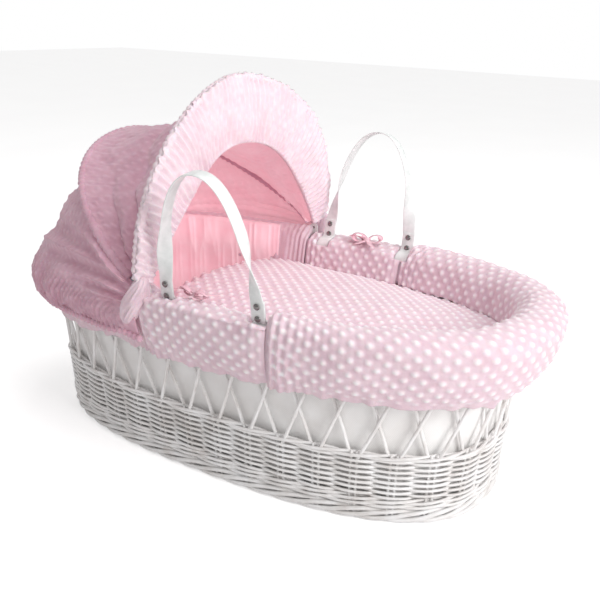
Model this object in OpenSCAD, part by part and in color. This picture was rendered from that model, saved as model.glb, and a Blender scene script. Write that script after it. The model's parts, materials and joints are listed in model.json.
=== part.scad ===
// Moses basket: a white willow basket with a padded fabric dressing, two strap
// handles, a coverlet and a folding hood on two sprung hoops.
// X runs from the head end (-X) to the foot end (+X), Y across, Z up.
// The origin is the middle of the basket's base, on the surface it stands on.

/* [Basket] */
// Length of the basket at its base
base_length = 768; // [640:1:920]
// Width of the basket at its base
base_width = 376; // [320:1:450]
// Height of the woven rim above the floor
rim_height = 276; // [240:1:330]
// How far each end leans out from base to rim
end_flare = 36; // [10:1:60]
// How far each side leans out from base to rim
side_flare = 38; // [10:1:60]
// Squareness of the plan outline (2 is an ellipse)
outline_power = 2.6; // [2:0.1:3.2]

/* [Weave] */
// Height of the plaited foot border
foot_height = 22; // [14:1:30]
// Height of the closed weaving above the floor
band_height = 108; // [90:1:130]
// Thickness of the woven walls
wall_thick = 9; // [7:0.5:12]
// Thickness of the woven floor
floor_thick = 6; // [4:0.5:9]
// Diameter of one willow stake
stake_d = 5; // [4:0.1:6]
// Number of crossed stake pairs round the basket
stake_pairs = 36; // [28:1:40]
// Diameter of the rolled rim border
rim_d = 22; // [18:0.5:26]
// Height of the waling hidden under the rim border
upper_band_height = 40; // [30:1:50]

/* [Dressing] */
// Thickness of the white fabric liner
liner_thick = 1.5; // [1:0.1:3]
// How far the padded trim hangs below the top of the rim
trim_drop = 84; // [60:1:100]
// How far the padding rises above the rim
trim_rise = 20; // [14:1:30]
// How far the padding stands out at the sides
trim_side_puff = 22; // [16:1:30]
// How far the padding stands out at the foot end
trim_foot_puff = 38; // [24:1:46]
// How far the padding stands out at the head end, under the hood
trim_head_puff = 12; // [8:1:30]
// How far the side flaps rise above the rim
flap_rise = 10; // [6:1:20]

/* [Bedding] */
// Mattress thickness
mattress_thick = 40; // [25:1:60]
// Coverlet thickness
coverlet_thick = 12; // [8:1:20]
// Height of the plumped coverlet at its middle
coverlet_height = 262; // [256:1:280]
// Distance from the base centre to the coverlet's head edge
coverlet_head = 118; // [80:1:200]

/* [Handles] */
// Strap width
strap_width = 22; // [16:1:28]
// Strap thickness
strap_thick = 2.5; // [2:0.1:4]
// Distance between the middles of a handle's two feet
handle_span = 155.5; // [130:0.5:190]
// Distance from the rim border's centre to the top of the strap
handle_rise = 211; // [170:1:240]
// Distance from the base centre to the middle of the handles
handle_centre = 47.5; // [30:0.5:70]
// Lean of the handles away from the basket
handle_lean = 9; // [0:1:12]
// Rivet cap diameter
rivet_d = 9; // [7:0.5:11]

/* [Hood] */
// Distance from the base centre back to the hood's pivot
hood_pivot_x = 66; // [64:1:110]
// Height of the hood's pivot above the rim
hood_pivot_rise = 16; // [14:1:40]
// Length of the front hoop from pivot to top
front_hoop_length = 276; // [220:1:300]
// Length of the rear hoop from pivot to top
rear_hoop_length = 293; // [250:1:310]
// Angle of the front hoop from the foot end, over the top
front_hoop_angle = 92; // [85:1:105]
// Angle of the rear hoop from the foot end, over the top
rear_hoop_angle = 143; // [135:1:150]
// Gap between each bracket and its rear hoop's eye
hood_spacer = 9; // [6:0.5:14]
// Diameter of the hoops' wire
hoop_d = 6; // [4:0.5:8]
// Height of the hood's mouth above the pivot
mouth_height = 178; // [140:1:210]
// Half the width of the hood's mouth at the pivot
mouth_half_width = 224; // [190:1:235]
// Thickness of the hood's fabric
hood_thick = 3; // [2:0.5:5]

/* [Hidden] */

willow = "#f1efee";
plush = "#f4c9d6";
lining_pink = "#ec9fb4";
ribbon_pink = "#f7d6df";
liner_white = "#fbfaf9";
strap_white = "#eef0ef";
steel = "#b9bcc0";

round_fn = 32;
plan_steps = 96;                     // stations round a full plan outline
gap = 0.5;                           // clearance between touching soft pieces
swing_gap = 1.8;                     // clearance round a handle's loop

// ---- plan outline -------------------------------------------------------
// signed power, so that one formula gives all four quarters of the outline
function spow(v, p) = sign(v) * pow(abs(v), p);

// part of the flare reached at height z: a straight lean and a growing one
function lean_part(z, straight) = let (k = z / rim_height) straight * k + (1 - straight) * k * k;
function half_length(z) = base_length / 2 + end_flare * lean_part(z, 0.23);
function half_width(z) = base_width / 2 + side_flare * lean_part(z, 0.64);

// point on the outline grown outwards by r, at height z and angle t
function plan_at(t, z, r) = [
    (half_length(z) + r) * spow(cos(t), 2 / outline_power),
    (half_width(z) + r) * spow(sin(t), 2 / outline_power)
];
function wall_at(t, z, r) = concat(plan_at(t, z, r), [z]);

// angle whose outline point has the given x, on the far side (0 to 180)
function angle_at_x(x, z, r) = acos(spow(x / (half_length(z) + r), outline_power / 2));

// ---- sweeps -------------------------------------------------------------
// faces that join ring i to ring i + 1, each ring a closed loop of m points
function band_faces(n, m) = [
    for (i = [0:n - 2]) for (j = [0:m - 1]) for (k = [0, 1])
        let (a = i * m + j, b = i * m + (j + 1) % m)
            k == 0 ? [a, b, b + m] : [a, b + m, a + m]
];

// six times the volume inside the faces, negative when they are inside out
function fan_volume(points, f) = let (a = points[f[0]])
    [for (k = [1:len(f) - 2]) a * cross(points[f[k]], points[f[k + 1]])] * [for (k = [1:len(f) - 2]) 1];
function signed_volume(points, faces) = [for (f = faces) fan_volume(points, f)] * [for (f = faces) 1];

// a polyhedron whose faces are turned the right way out
module closed_solid(points, faces) {
    flip = signed_volume(points, faces) > 0;
    polyhedron(points, flip ? [for (f = faces) [for (k = [len(f) - 1:-1:0]) f[k]]] : faces, convexity = 8);
}

// a solid through open rings, closed by its first and last ring
module loft(rings) {
    n = len(rings);
    m = len(rings[0]);
    points = [for (ring = rings) for (p = ring) p];
    ends = [[for (j = [m - 1:-1:0]) j], [for (j = [0:m - 1]) (n - 1) * m + j]];
    closed_solid(points, concat(band_faces(n, m), ends));
}

// a solid through rings that come back to the first one
module loft_round(rings) {
    n = len(rings);
    m = len(rings[0]);
    points = [for (ring = rings) for (p = ring) p];
    closed_solid(points, [for (f = band_faces(n + 1, m)) [for (v = f) v % (n * m)]]);
}

// a wall of the given [r, z] profile carried round the outline between two angles
module wall(profile, from, to, steps) {
    loft([for (i = [0:steps]) let (t = from + (to - from) * i / steps)
        [for (q = profile) wall_at(t, q[1], q[0])]]);
}

module full_wall(profile) {
    loft_round([for (i = [0:plan_steps - 1]) let (t = 360 * i / plan_steps)
        [for (q = profile) wall_at(t, q[1], q[0])]]);
}

function ring_points(d, sides) = [for (k = [0:sides - 1]) [cos(360 * k / sides), sin(360 * k / sides)] * d / 2];

function unit(v) = v / norm(v);

// a round tube along a path, its ring kept square to the path and to the given side vector
module tube(path, d, side, sides = 10) {
    last = len(path) - 1;
    loft([for (i = [0:last]) let (
            along = unit(path[min(i + 1, last)] - path[max(i - 1, 0)]),
            across = unit(cross(side, along)),
            other = cross(along, across))
        [for (q = ring_points(d, sides)) path[i] + across * q[0] + other * q[1]]]);
}

module both_sides() {
    children();
    mirror([0, 1, 0]) children();
}

// ---- woven basket -------------------------------------------------------
rim_centre_z = rim_height - rim_d / 2;
band_top = band_height;
upper_top = rim_height - rim_d;
upper_bottom = upper_top - upper_band_height + 4;
inner_r = -wall_thick;

// centre line of the rim border, and where the handles turn on it
handle_x = [handle_centre - handle_span / 2, handle_centre + handle_span / 2];
function rim_centre_y(x) = plan_at(angle_at_x(x, rim_centre_z, -rim_d / 2), rim_centre_z, -rim_d / 2)[1];
turn_y = (rim_centre_y(handle_x[0]) + rim_centre_y(handle_x[1])) / 2;
rim_run_out = abs(rim_centre_y(handle_x[0]) - rim_centre_y(handle_x[1])) / 2;
loop_inner = rim_d / 2 + rim_run_out + swing_gap;
loop_outer = loop_inner + strap_thick;

module foot_border() color(willow)
    full_wall([[1, 0], [2.5, 5], [2.5, foot_height - 4], [0.5, foot_height], [inner_r - 2, foot_height],
        [inner_r - 3, foot_height - 5], [inner_r - 3, 0]]);

floor_z = 0;
floor_r = inner_r - 3 - gap;
module base_weave() color(willow)
    translate([0, 0, floor_z]) linear_extrude(floor_thick)
        polygon([for (i = [0:plan_steps - 1]) plan_at(360 * i / plan_steps, floor_z, floor_r)]);

stick_d = 6;
stick_count = 7;
module base_sticks() color(willow)
    for (i = [0:stick_count - 1]) let (
            y = base_width * 0.72 * (i / (stick_count - 1) - 0.5),
            z = floor_z + floor_thick + stick_d / 2 + 0.1,
            run = (half_length(0) + floor_r) * pow(1 - pow(abs(y) / (half_width(0) + floor_r), outline_power),
                1 / outline_power) - stick_d)
        translate([-run, y, z]) rotate([0, 90, 0]) cylinder(d = stick_d, h = 2 * run, $fn = round_fn);

module lower_band() color(willow)
    full_wall([[0, foot_height + 0.1], [0, (foot_height + band_top) / 2], [0, band_top], [inner_r, band_top],
        [inner_r, (foot_height + band_top) / 2], [inner_r, foot_height + 0.1]]);

// length along the outline at the band's top, as [length, angle] pairs, for even spacing
trace_steps = 240;
trace = [for (i = [0:trace_steps]) plan_at(360 * i / trace_steps, band_top, 0)];
function run_to(i, sum = 0) = i == 0 ? sum : run_to(i - 1, sum + norm(trace[i] - trace[i - 1]));
angle_of_run = [for (i = [0:trace_steps]) [run_to(i), 360 * i / trace_steps]];
girth = run_to(trace_steps);
stake_shift = 0.62;                  // where the first pair stands, as a part of the spacing
stake_spread = 0.08;                 // half the gap between a pair's two feet, as a part of the spacing
function stake_angle(k) = let (s = (k + stake_shift) / stake_pairs)
    360 * floor(s) + lookup((s - floor(s)) * girth, angle_of_run);

stake_sink = 10;                     // length of stake held in each band
module rod(a, b, d) {
    v = b - a;
    translate(a) rotate([0, acos(v[2] / norm(v)), atan2(v[1], v[0])]) cylinder(d = d, h = norm(v), $fn = 16);
}

module stakes() color(willow)
    for (i = [0:stake_pairs - 1]) for (turn = [-1, 1]) let (
            layer = turn > 0 ? -stake_d / 2 - 0.4 : -stake_d * 3 / 2 - 0.6,
            low = wall_at(stake_angle(i + turn * stake_spread), band_top - stake_sink, layer),
            high = wall_at(stake_angle(i + turn * (1 - stake_spread)), upper_bottom + stake_sink, layer))
        rod(low, high, stake_d);

// Room for a strap's loop round the rim border, and above it a slot that is open between the
// strap's two limits. Its outer side is wide enough for the rivet caps. It is one outline in
// the plane across the rim, first point outwards, carried along the strap's width.
in_limit = 78;                       // how far a handle turns in and out from rest
out_limit = 12;
slot_reach = 70;
slot_clear = 13;
loop_clear = loop_outer + swing_gap;
slot_in = [-sin(in_limit - handle_lean), cos(in_limit - handle_lean)];
slot_out = [sin(out_limit + handle_lean), cos(out_limit + handle_lean)];
arc_from = 90 - out_limit - handle_lean - asin(slot_clear / loop_clear);
arc_to = 90 + in_limit - handle_lean - 360;
room_outline = concat(
    [for (k = [0:8]) let (b = arc_from + (arc_to - arc_from) * k / 8) loop_clear * [cos(b), sin(b)]],
    [slot_reach * slot_in, [-slot_reach, slot_reach], [slot_reach, slot_reach],
        slot_clear * [slot_out[1], -slot_out[0]] + slot_reach * slot_out]);

module strap_room()
    both_sides()
        for (x = handle_x)
            translate([x - strap_width / 2 - swing_gap, turn_y, rim_centre_z])
                rotate([90, 0, 90]) linear_extrude(strap_width + 2 * swing_gap) polygon(room_outline);

// the weaving under the rim stops just short of its stakes' bent-over border
module upper_band() color(willow)
    difference() {
        full_wall([[-1, upper_bottom], [-1, upper_top + 3], [inner_r - 1, upper_top + 3],
            [inner_r - 1, upper_bottom]]);
        strap_room();
    }

module rim_border() color(willow)
    full_wall([for (k = [0:11]) [-rim_d / 2 + cos(30 * k) * rim_d / 2, rim_centre_z + sin(30 * k) * rim_d / 2]]);

// ---- liner and bedding --------------------------------------------------
liner_out = inner_r - 3 - gap;
liner_in = liner_out - liner_thick;
liner_floor = floor_z + floor_thick + stick_d + 0.4;
liner_top = rim_height - 42;
module liner() color(liner_white) {
    levels = [for (k = [0:6]) liner_floor + (liner_top - liner_floor) * k / 6];
    difference() {
        loft([for (z = levels) [for (i = [0:plan_steps - 1]) wall_at(360 * i / plan_steps, z, liner_out)]]);
        loft([for (z = concat([liner_floor + liner_thick], [for (k = [1:6]) levels[k] + (k == 6 ? 1 : 0)]))
            [for (i = [0:plan_steps - 1]) wall_at(360 * i / plan_steps, z, liner_in)]]);
    }
}

mattress_floor = liner_floor + liner_thick + 0.2;
mattress_top = mattress_floor + mattress_thick;
mattress_r = liner_in - 2;
module mattress() color(liner_white)
    loft([for (q = [[-5, 0], [0, 0.2], [0, 0.8], [-6, 1]])
        [for (i = [0:plan_steps - 1])
            wall_at(360 * i / plan_steps, mattress_floor + mattress_thick * q[1], mattress_r + q[0])]]);

// The coverlet is plumped up over the sleeping space like a low vault: it rises from the
// mattress along the liner, turns in below the trim and crowns in the middle. Its head
// edge is open, where the baby goes in.
trim_in_bottom = rim_height - 32;
cover_shoulder = trim_in_bottom - 18;
cover_skirt_r = liner_in - 4;
cover_power = 2.4;
cover_rings = 10;
// height of the vault at a part u of the way from its middle to its edge
function cover_top(u) = cover_shoulder + (coverlet_height - cover_shoulder) * (1 - pow(u, cover_power));

// the space under the coverlet's outer surface, taken in by a wall
module vault(inset, floor) {
    r = cover_skirt_r - inset;
    skirt = [for (k = [0:3]) let (z = floor + (cover_shoulder - inset - floor) * k / 3)
        [for (i = [0:plan_steps - 1]) wall_at(360 * i / plan_steps, z, r)]];
    crown = [for (k = [1:cover_rings]) let (u = max(0.02, cos(90 * k / cover_rings)), z = cover_top(u) - inset)
        [for (i = [0:plan_steps - 1]) concat(plan_at(360 * i / plan_steps, cover_shoulder - inset, r) * u, [z])]];
    loft(concat(skirt, crown));
}

module coverlet() color(plush)
    difference() {
        vault(0, mattress_top + 1);
        vault(coverlet_thick, mattress_top);
        translate([-base_length - coverlet_head, -base_width, 0])
            cube([base_length, base_width * 2, rim_height * 2]);
    }

// half the width of the outline grown by r, at length x and height z
function half_section(x, z, r) = (half_width(z) + r)
    * pow(max(0, 1 - pow(abs(x) / (half_length(z) + r), outline_power)), 1 / outline_power);

// pleated inner lining round the head end, between the trim and the mattress
bumper_from = angle_at_x(-coverlet_head - 4, mattress_top, liner_in);
bumper_gap = 1.2;
bumper_thick = 11;
bumper_low = mattress_top + 1;
bumper_top = trim_in_bottom - 8;
module head_bumper() color(lining_pink)
    wall(concat([for (k = [0:6]) [liner_in - bumper_gap, bumper_low + (bumper_top - bumper_low) * k / 6]],
        [for (k = [6:-1:0]) [liner_in - bumper_gap - bumper_thick, bumper_low + (bumper_top - bumper_low) * k / 6]]),
        bumper_from, 360 - bumper_from, 48);

// ---- padded trim --------------------------------------------------------
trim_top = rim_height + trim_rise;
trim_hem = rim_height - trim_drop;
function puff(t) = trim_side_puff
    + ((cos(t) > 0 ? trim_foot_puff : trim_head_puff) - trim_side_puff) * pow(abs(cos(t)), 4);

// the trim's cross-section at angle t: an upside-down U that wraps the rim. The shoulder is
// how far its outer top corner slopes down, and brow the part of the puff it still has there.
wrap_gap = 1.5;                      // clearance between the trim and the rim inside it
function trim_profile(t, top, shoulder, brow) = let (p = puff(t)) [
    [p * 0.55, trim_hem],
    [p * 0.9, trim_hem + 30],
    [p, rim_height - 18],
    [p * 0.82, rim_height - shoulder / 2 + 2],
    [p * brow, top - 3 - shoulder],
    [-8, top],
    [-24, top - 5],
    [-36, rim_height - 2],
    [-37, trim_in_bottom + 6],
    [-30, trim_in_bottom],
    [liner_in - 8, trim_in_bottom],
    [-rim_d - wrap_gap, trim_in_bottom + 6],
    [-rim_d - wrap_gap, rim_height - 3],
    [-rim_d * 0.75, rim_height + wrap_gap],
    [-rim_d * 0.25, rim_height + wrap_gap],
    [wrap_gap, rim_height - 5],
    [wrap_gap, rim_height - rim_d - 4],
    [wrap_gap, trim_hem]
];

// Each end is [length x, turn, sign], with its angle there turn + sign * the angle at x. Every
// line along the trim ends at that same x, so the ends are flat and square to the sides.
module trim(from, to, steps, top = trim_top, shoulder = 0, brow = 0.35)
    loft([for (i = [0:steps]) let (t = end_angle(from, to, i / steps, rim_height, 0))
        [for (q = trim_profile(t, top, shoulder, brow))
            wall_at(end_angle(from, to, i / steps, q[1], q[0]), q[1], q[0])]]);
function end_angle(from, to, k, z, r) =
    (from[1] + from[2] * angle_at_x(from[0], z, r)) * (1 - k) + (to[1] + to[2] * angle_at_x(to[0], z, r)) * k;

// the hood's brackets stand in a gap between the side flaps and the head trim
bracket_width = 16;
bracket_thick = 2;
bracket_y = half_section(-hood_pivot_x, rim_centre_z, 0) + gap;
bracket_room = bracket_width / 2 + 2;

seam = 1;                            // half the gap at a seam between two pieces of trim
front_seam_x = handle_x[1] + strap_width / 2 + swing_gap + 3;
head_seam_x = -hood_pivot_x - bracket_room;
foot_end = front_seam_x + seam;

module trim_foot() color(plush) trim([foot_end, 0, -1], [foot_end, 0, 1], 40);

module trim_head() color(plush) trim([head_seam_x, 0, 1], [head_seam_x, 360, -1], 48, shoulder = 8);

module flap() color(plush)
    difference() {
        trim([front_seam_x - seam, 0, 1], [-hood_pivot_x + bracket_room, 0, 1], 18,
            top = rim_height + flap_rise, brow = 0.8);
        strap_room();
    }
module trim_flap_far() flap();
module trim_flap_near() mirror([0, 1, 0]) flap();

// ---- ribbon bows --------------------------------------------------------
bow_loop = 15;
bow_thick = 4;
bow_z = rim_height + flap_rise + 0.6;
module bow(x) color(ribbon_pink)
    translate([x, half_width(rim_height) - 12, bow_z])
        rotate([0, 0, 10]) linear_extrude(bow_thick) {
            for (side = [-1, 1]) {
                translate([side * bow_loop * 0.62, 0]) scale([1, 1]) circle(d = bow_loop, $fn = round_fn);
                rotate(side * 35) translate([side * bow_loop * 0.2 - 3, -bow_loop * 1.5]) square([6, bow_loop * 1.5]);
            }
            circle(d = bow_loop * 0.55, $fn = round_fn);
        }
far_bow_x = handle_centre + 4;
near_bow_x = handle_x[0] + strap_width + 14;
module ribbon_bow_far() bow(far_bow_x);
module ribbon_bow_near() mirror([0, 1, 0]) bow(near_bow_x);

// ---- handles ------------------------------------------------------------
// Built upright about the turning axis: u along the basket, v away from it, w up.
strap_offset = 6.5;                  // how far outside the turning axis the strap rises
rivet_levels = [loop_outer + 6, loop_outer + 24];
strap_join = loop_outer + 32;        // where the strap's doubled end stops
arch_power = 2.2;
arch_steps = 40;
function arch_at(a) = [handle_span / 2 * spow(cos(a), 2 / arch_power), handle_rise * spow(sin(a), 2 / arch_power)];
function twist_at(w) = let (k = min(1, max(0, (w - strap_join + 10) / 100))) 90 * k * k * (3 - 2 * k);

module upright()
    translate([handle_centre, turn_y, rim_centre_z]) rotate([-handle_lean, 0, 0]) children();

module strap_arch() {
    first = asin(pow((strap_join - 4) / handle_rise, arch_power / 2));
    loft([for (i = [0:arch_steps]) let (
            a = first + (180 - 2 * first) * i / arch_steps,
            p = arch_at(a),
            q = arch_at(a + 0.5) - arch_at(a - 0.5),
            along = unit([q[0], 0, q[1]]),
            turn = (a < 90 ? 1 : -1) * (90 - twist_at(p[1])),
            flat = [0, cos(turn), 0] + cross([0, 1, 0], along) * sin(turn),
            thick = cross(along, flat))
        [for (c = [[-1, -1], [-1, 1], [1, 1], [1, -1]])
            [p[0], strap_offset, p[1]] + flat * c[0] * strap_width / 2 + thick * c[1] * strap_thick / 2]]);
}

// one end of the strap: round the rim border, then doubled and riveted
module strap_end() {
    difference() {
        rotate([90, 0, 90]) linear_extrude(strap_width, center = true)
            difference() {
                union() {
                    circle(r = loop_outer, $fn = 64);
                    translate([strap_offset - strap_thick, 0]) square([strap_thick * 2, strap_join]);
                }
                circle(r = loop_inner, $fn = 64);
            }
        rivet_shanks();
    }
}

shank_d = 3.4;
module rivet_shanks()
    for (w = rivet_levels)
        translate([0, strap_offset, w]) rotate([90, 0, 0])
            cylinder(d = shank_d, h = strap_thick * 2, center = true, $fn = round_fn);

module rivet_cap()
    intersection() {
        cylinder(d = rivet_d, h = rivet_d, $fn = round_fn);
        translate([0, 0, -rivet_d * 0.42]) sphere(r = rivet_d * 0.656, $fn = round_fn);
    }

module handle_rivets() {
    for (side = [-1, 1]) translate([side * handle_span / 2, 0, 0]) {
        rivet_shanks();
        for (w = rivet_levels) for (face = [-1, 1])
            translate([0, strap_offset + face * strap_thick, w]) rotate([-90 * face, 0, 0]) rivet_cap();
    }
}

module handle_strap() {
    strap_arch();
    for (side = [-1, 1]) translate([side * handle_span / 2, 0, 0]) strap_end();
}

module handle_far_strap() color(strap_white) upright() handle_strap();
module handle_far_rivets() color(steel) upright() handle_rivets();
module handle_near_strap() color(strap_white) mirror([0, 1, 0]) upright() handle_strap();
module handle_near_rivets() color(steel) mirror([0, 1, 0]) upright() handle_rivets();

// ---- hood frame ---------------------------------------------------------
pin_d = 5;
eye_d = 16;
eye_thick = 3;
eye_gap = 0.4;
hood_pivot_z = rim_height + hood_pivot_rise;
rear_eye_y = bracket_y + bracket_thick + hood_spacer;
front_eye_y = rear_eye_y + hoop_d + 1;
pin_end_y = front_eye_y + eye_thick + eye_gap;
screw_d = 4;
screw_levels = [upper_bottom + 8, upper_bottom + 24];

module at_pivot() translate([-hood_pivot_x, 0, hood_pivot_z]) children();

module bracket() color(steel)
    difference() {
        translate([-hood_pivot_x, bracket_y, 0]) rotate([90, 0, 0]) mirror([0, 0, 1]) linear_extrude(bracket_thick)
            hull() {
                translate([-bracket_width / 2, upper_bottom]) square([bracket_width, 10]);
                translate([0, hood_pivot_z]) circle(d = bracket_width, $fn = round_fn);
            }
        at_pivot() rotate([-90, 0, 0]) cylinder(d = pin_d, h = bracket_y + 50, $fn = round_fn);
        for (z = screw_levels) translate([-hood_pivot_x, 0, z]) rotate([-90, 0, 0])
            cylinder(d = screw_d, h = bracket_y + 50, $fn = round_fn);
    }
module hood_bracket_far() bracket();
module hood_bracket_near() mirror([0, 1, 0]) bracket();

screw_length = 12;
module bracket_screws() color(steel)
    both_sides()
        for (z = screw_levels) translate([-hood_pivot_x, bracket_y, z]) rotate([-90, 0, 0]) {
            translate([0, 0, bracket_thick - screw_length])
                cylinder(d = screw_d, h = screw_length, $fn = round_fn);
            translate([0, 0, bracket_thick]) cylinder(d = screw_d * 2, h = 2, $fn = round_fn);
        }

module pin() color(steel)
    at_pivot() rotate([-90, 0, 0]) {
        translate([0, 0, bracket_y]) cylinder(d = pin_d, h = pin_end_y - bracket_y, $fn = round_fn);
        translate([0, 0, bracket_y + bracket_thick])
            cylinder(d = pin_d + 4, h = rear_eye_y - eye_gap - bracket_y - bracket_thick, $fn = round_fn);
        translate([0, 0, rear_eye_y + eye_thick + eye_gap])
            cylinder(d = pin_d + 4, h = front_eye_y - rear_eye_y - eye_thick - 2 * eye_gap, $fn = round_fn);
        translate([0, 0, pin_end_y]) cylinder(d = pin_d + 5, h = 3, $fn = round_fn);
    }
module hood_pin_far() pin();
module hood_pin_near() mirror([0, 1, 0]) pin();

// A hoop is an arch between the two pivots. Its half-width grows from the foot by a bulge and
// closes over the top, and its sides bow out of the plane towards the foot end.
hoop_steps = 44;
front_power = 2;
front_bulge = 20;
front_bow = 18;
rear_power = 2.1;
rear_bulge = 2;
rear_bow = -9;
mouth_power = 1.95;
mouth_bulge = -46;
mouth_bow = 9;
pivot = [-hood_pivot_x, 0, hood_pivot_z];

function arch_point(a, foot, length, power, bulge, bow, angle) = let (
        side = abs(sin(2 * a)),
        y = (foot + bulge * side) * spow(cos(a), 2 / power),
        h = length * spow(sin(a), 2 / power))
    pivot + [h * cos(angle) + bow * side * sin(angle), y, h * sin(angle) - bow * side * cos(angle)];

function front_arch(a, grow = 0) = arch_point(a, front_eye_y + eye_thick / 2 + grow, front_hoop_length + grow,
    front_power, front_bulge, front_bow, front_hoop_angle);
function rear_arch(a, grow = 0) = arch_point(a, rear_eye_y + eye_thick / 2 + grow, rear_hoop_length + grow,
    rear_power, rear_bulge, rear_bow, rear_hoop_angle);
function mouth_arch(a) = arch_point(a, mouth_half_width, mouth_height, mouth_power, mouth_bulge, mouth_bow,
    front_hoop_angle - 1);

module hoop_eyes(y)
    both_sides() at_pivot() rotate([-90, 0, 0]) translate([0, 0, y])
        difference() {
            cylinder(d = eye_d, h = eye_thick, $fn = round_fn);
            translate([0, 0, -1]) cylinder(d = pin_d + 0.12, h = eye_thick + 2, $fn = round_fn);
        }

// first angle of a hoop's bent wire, which starts in the eye's wall, clear of its hole
function hoop_start(length, power) = asin(pow(eye_d * 0.4 / length, power / 2));
function hoop_angle(first, i) = first + (180 - 2 * first) * i / hoop_steps;

module hood_front_hoop() color(steel) {
    first = hoop_start(front_hoop_length, front_power);
    hoop_eyes(front_eye_y);
    tube([for (i = [0:hoop_steps]) front_arch(hoop_angle(first, i))], hoop_d,
        [-sin(front_hoop_angle), 0, cos(front_hoop_angle)]);
}
module hood_rear_hoop() color(steel) {
    first = hoop_start(rear_hoop_length, rear_power);
    hoop_eyes(rear_eye_y);
    tube([for (i = [0:hoop_steps]) rear_arch(hoop_angle(first, i))], hoop_d,
        [-sin(rear_hoop_angle), 0, cos(rear_hoop_angle)]);
}

// ---- hood fabric --------------------------------------------------------
skin_gap = hoop_d / 2 + 1;
arch_from = 5;                       // the fabric starts this far up the hoops
panel_steps = 36;
panel_cross = 8;

// a closed sheet of the given thickness over a grid of points, thickened along a direction
module sheet(grid, shift) {
    rows = len(grid);
    m = len(grid[0]);
    loft([for (i = [0:rows - 1]) concat(grid[i], [for (k = [m - 1:-1:0]) grid[i][k] + shift(i, k)])]);
}

function mix(a, b, k) = a * (1 - k) + b * k;

// front panel: from the rear arch to the front arch, sagging a little between them
panel_sag = 30;
function front_panel_at(a, k) = let (
        p = mix(rear_arch(a, skin_gap + 1), front_arch(a, skin_gap + 1), k),
        mid = pivot + [0, 0, 30],
        pull = unit(p - mid))
    p - pull * panel_sag * sin(180 * k) * sin(a);
function panel_angle(i) = arch_from + (180 - 2 * arch_from) * i / panel_steps;

module hood_front_panel() color(plush)
    sheet([for (i = [0:panel_steps]) [for (k = [0:panel_cross])
            front_panel_at(panel_angle(i), 0.02 + 0.96 * k / panel_cross)]],
        function(i, k) let (p = front_panel_at(panel_angle(i), 0.5)) unit(p - pivot) * hood_thick);

// the hem's line round the outside of the trim, from one pivot to the other
hem_z = rim_height - 40;
hem_size = 8;
function hem_at(a, grow = 0) = let (
        start = angle_at_x(-hood_pivot_x, rim_height, 0),
        t = start + (360 - 2 * start) * (a / 180))
    wall_at(t, hem_z, puff(t) + 1.5 + grow);

// Back panel: from the rear arch down to the hem. It hangs in below the hoop and swells out
// over the head trim, as a curve drawn through a point outside the rim.
panel_swell = 16;
back_sag = 24;
trim_room = 16;
function brow_at(a) = let (
        start = angle_at_x(-hood_pivot_x, rim_height, 0),
        t = start + (360 - 2 * start) * (a / 180))
    wall_at(t, rim_height - 1, puff(t) + panel_swell * sin(a) + trim_room);
function back_panel_at(a, k) = let (
        p = rear_arch(a, skin_gap + 1) * pow(1 - k, 2) + brow_at(a) * 2 * k * (1 - k) + hem_at(a, 1) * k * k,
        pull = unit(p - pivot - [0, 0, 30]))
    p - pull * back_sag * sin(180 * min(1, sqrt(k) * 1.3)) * pow(sin(a), 0.7);

module hood_back_panel() color(plush)
    sheet([for (i = [0:panel_steps]) [for (k = [0:panel_cross])
            back_panel_at(panel_angle(i), 0.03 + 0.89 * k / panel_cross)]],
        function(i, k) let (p = back_panel_at(panel_angle(i), 0.5)) unit(p - pivot) * hood_thick);

module hood_hem() color(plush) {
    sides = 8;
    tube([for (i = [0:panel_steps + 8]) hem_at(180 * i / (panel_steps + 8), hem_size / 2)], hem_size, [0, 0, 1],
        sides);
}

// the gathered facing spans from the front hoop in to the hood's mouth
facing_thick = 6;
facing_from = 5;
facing_steps = 36;
module hood_facing() color(plush) {
    normal = [sin(front_hoop_angle), 0, -cos(front_hoop_angle)];
    clear = hoop_d / 2 + 0.6;
    loft([for (i = [0:facing_steps]) let (
            a = facing_from + (180 - 2 * facing_from) * i / facing_steps,
            out = front_arch(a, skin_gap + 4),
            in = mouth_arch(a))
        [out + normal * clear, mix(out, in, 0.45) + normal * (clear + facing_thick),
            in + normal * (facing_thick / 2), in - normal * (facing_thick / 2),
            mix(out, in, 0.45) - normal * (facing_thick / 2), mix(out, in, 0.22) + normal * clear]]);
}

foot_border();
base_weave();
base_sticks();
lower_band();
stakes();
upper_band();
rim_border();
liner();
mattress();
coverlet();
head_bumper();
trim_foot();
trim_head();
trim_flap_near();
trim_flap_far();
ribbon_bow_near();
ribbon_bow_far();
handle_near_strap();
handle_near_rivets();
handle_far_strap();
handle_far_rivets();
hood_bracket_near();
hood_bracket_far();
bracket_screws();
hood_pin_near();
hood_pin_far();
hood_rear_hoop();
hood_front_hoop();
hood_front_panel();
hood_back_panel();
hood_facing();
hood_hem();
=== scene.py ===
import json
import math

import bmesh
import bpy
import numpy as np
from mathutils import Matrix, Vector


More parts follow.
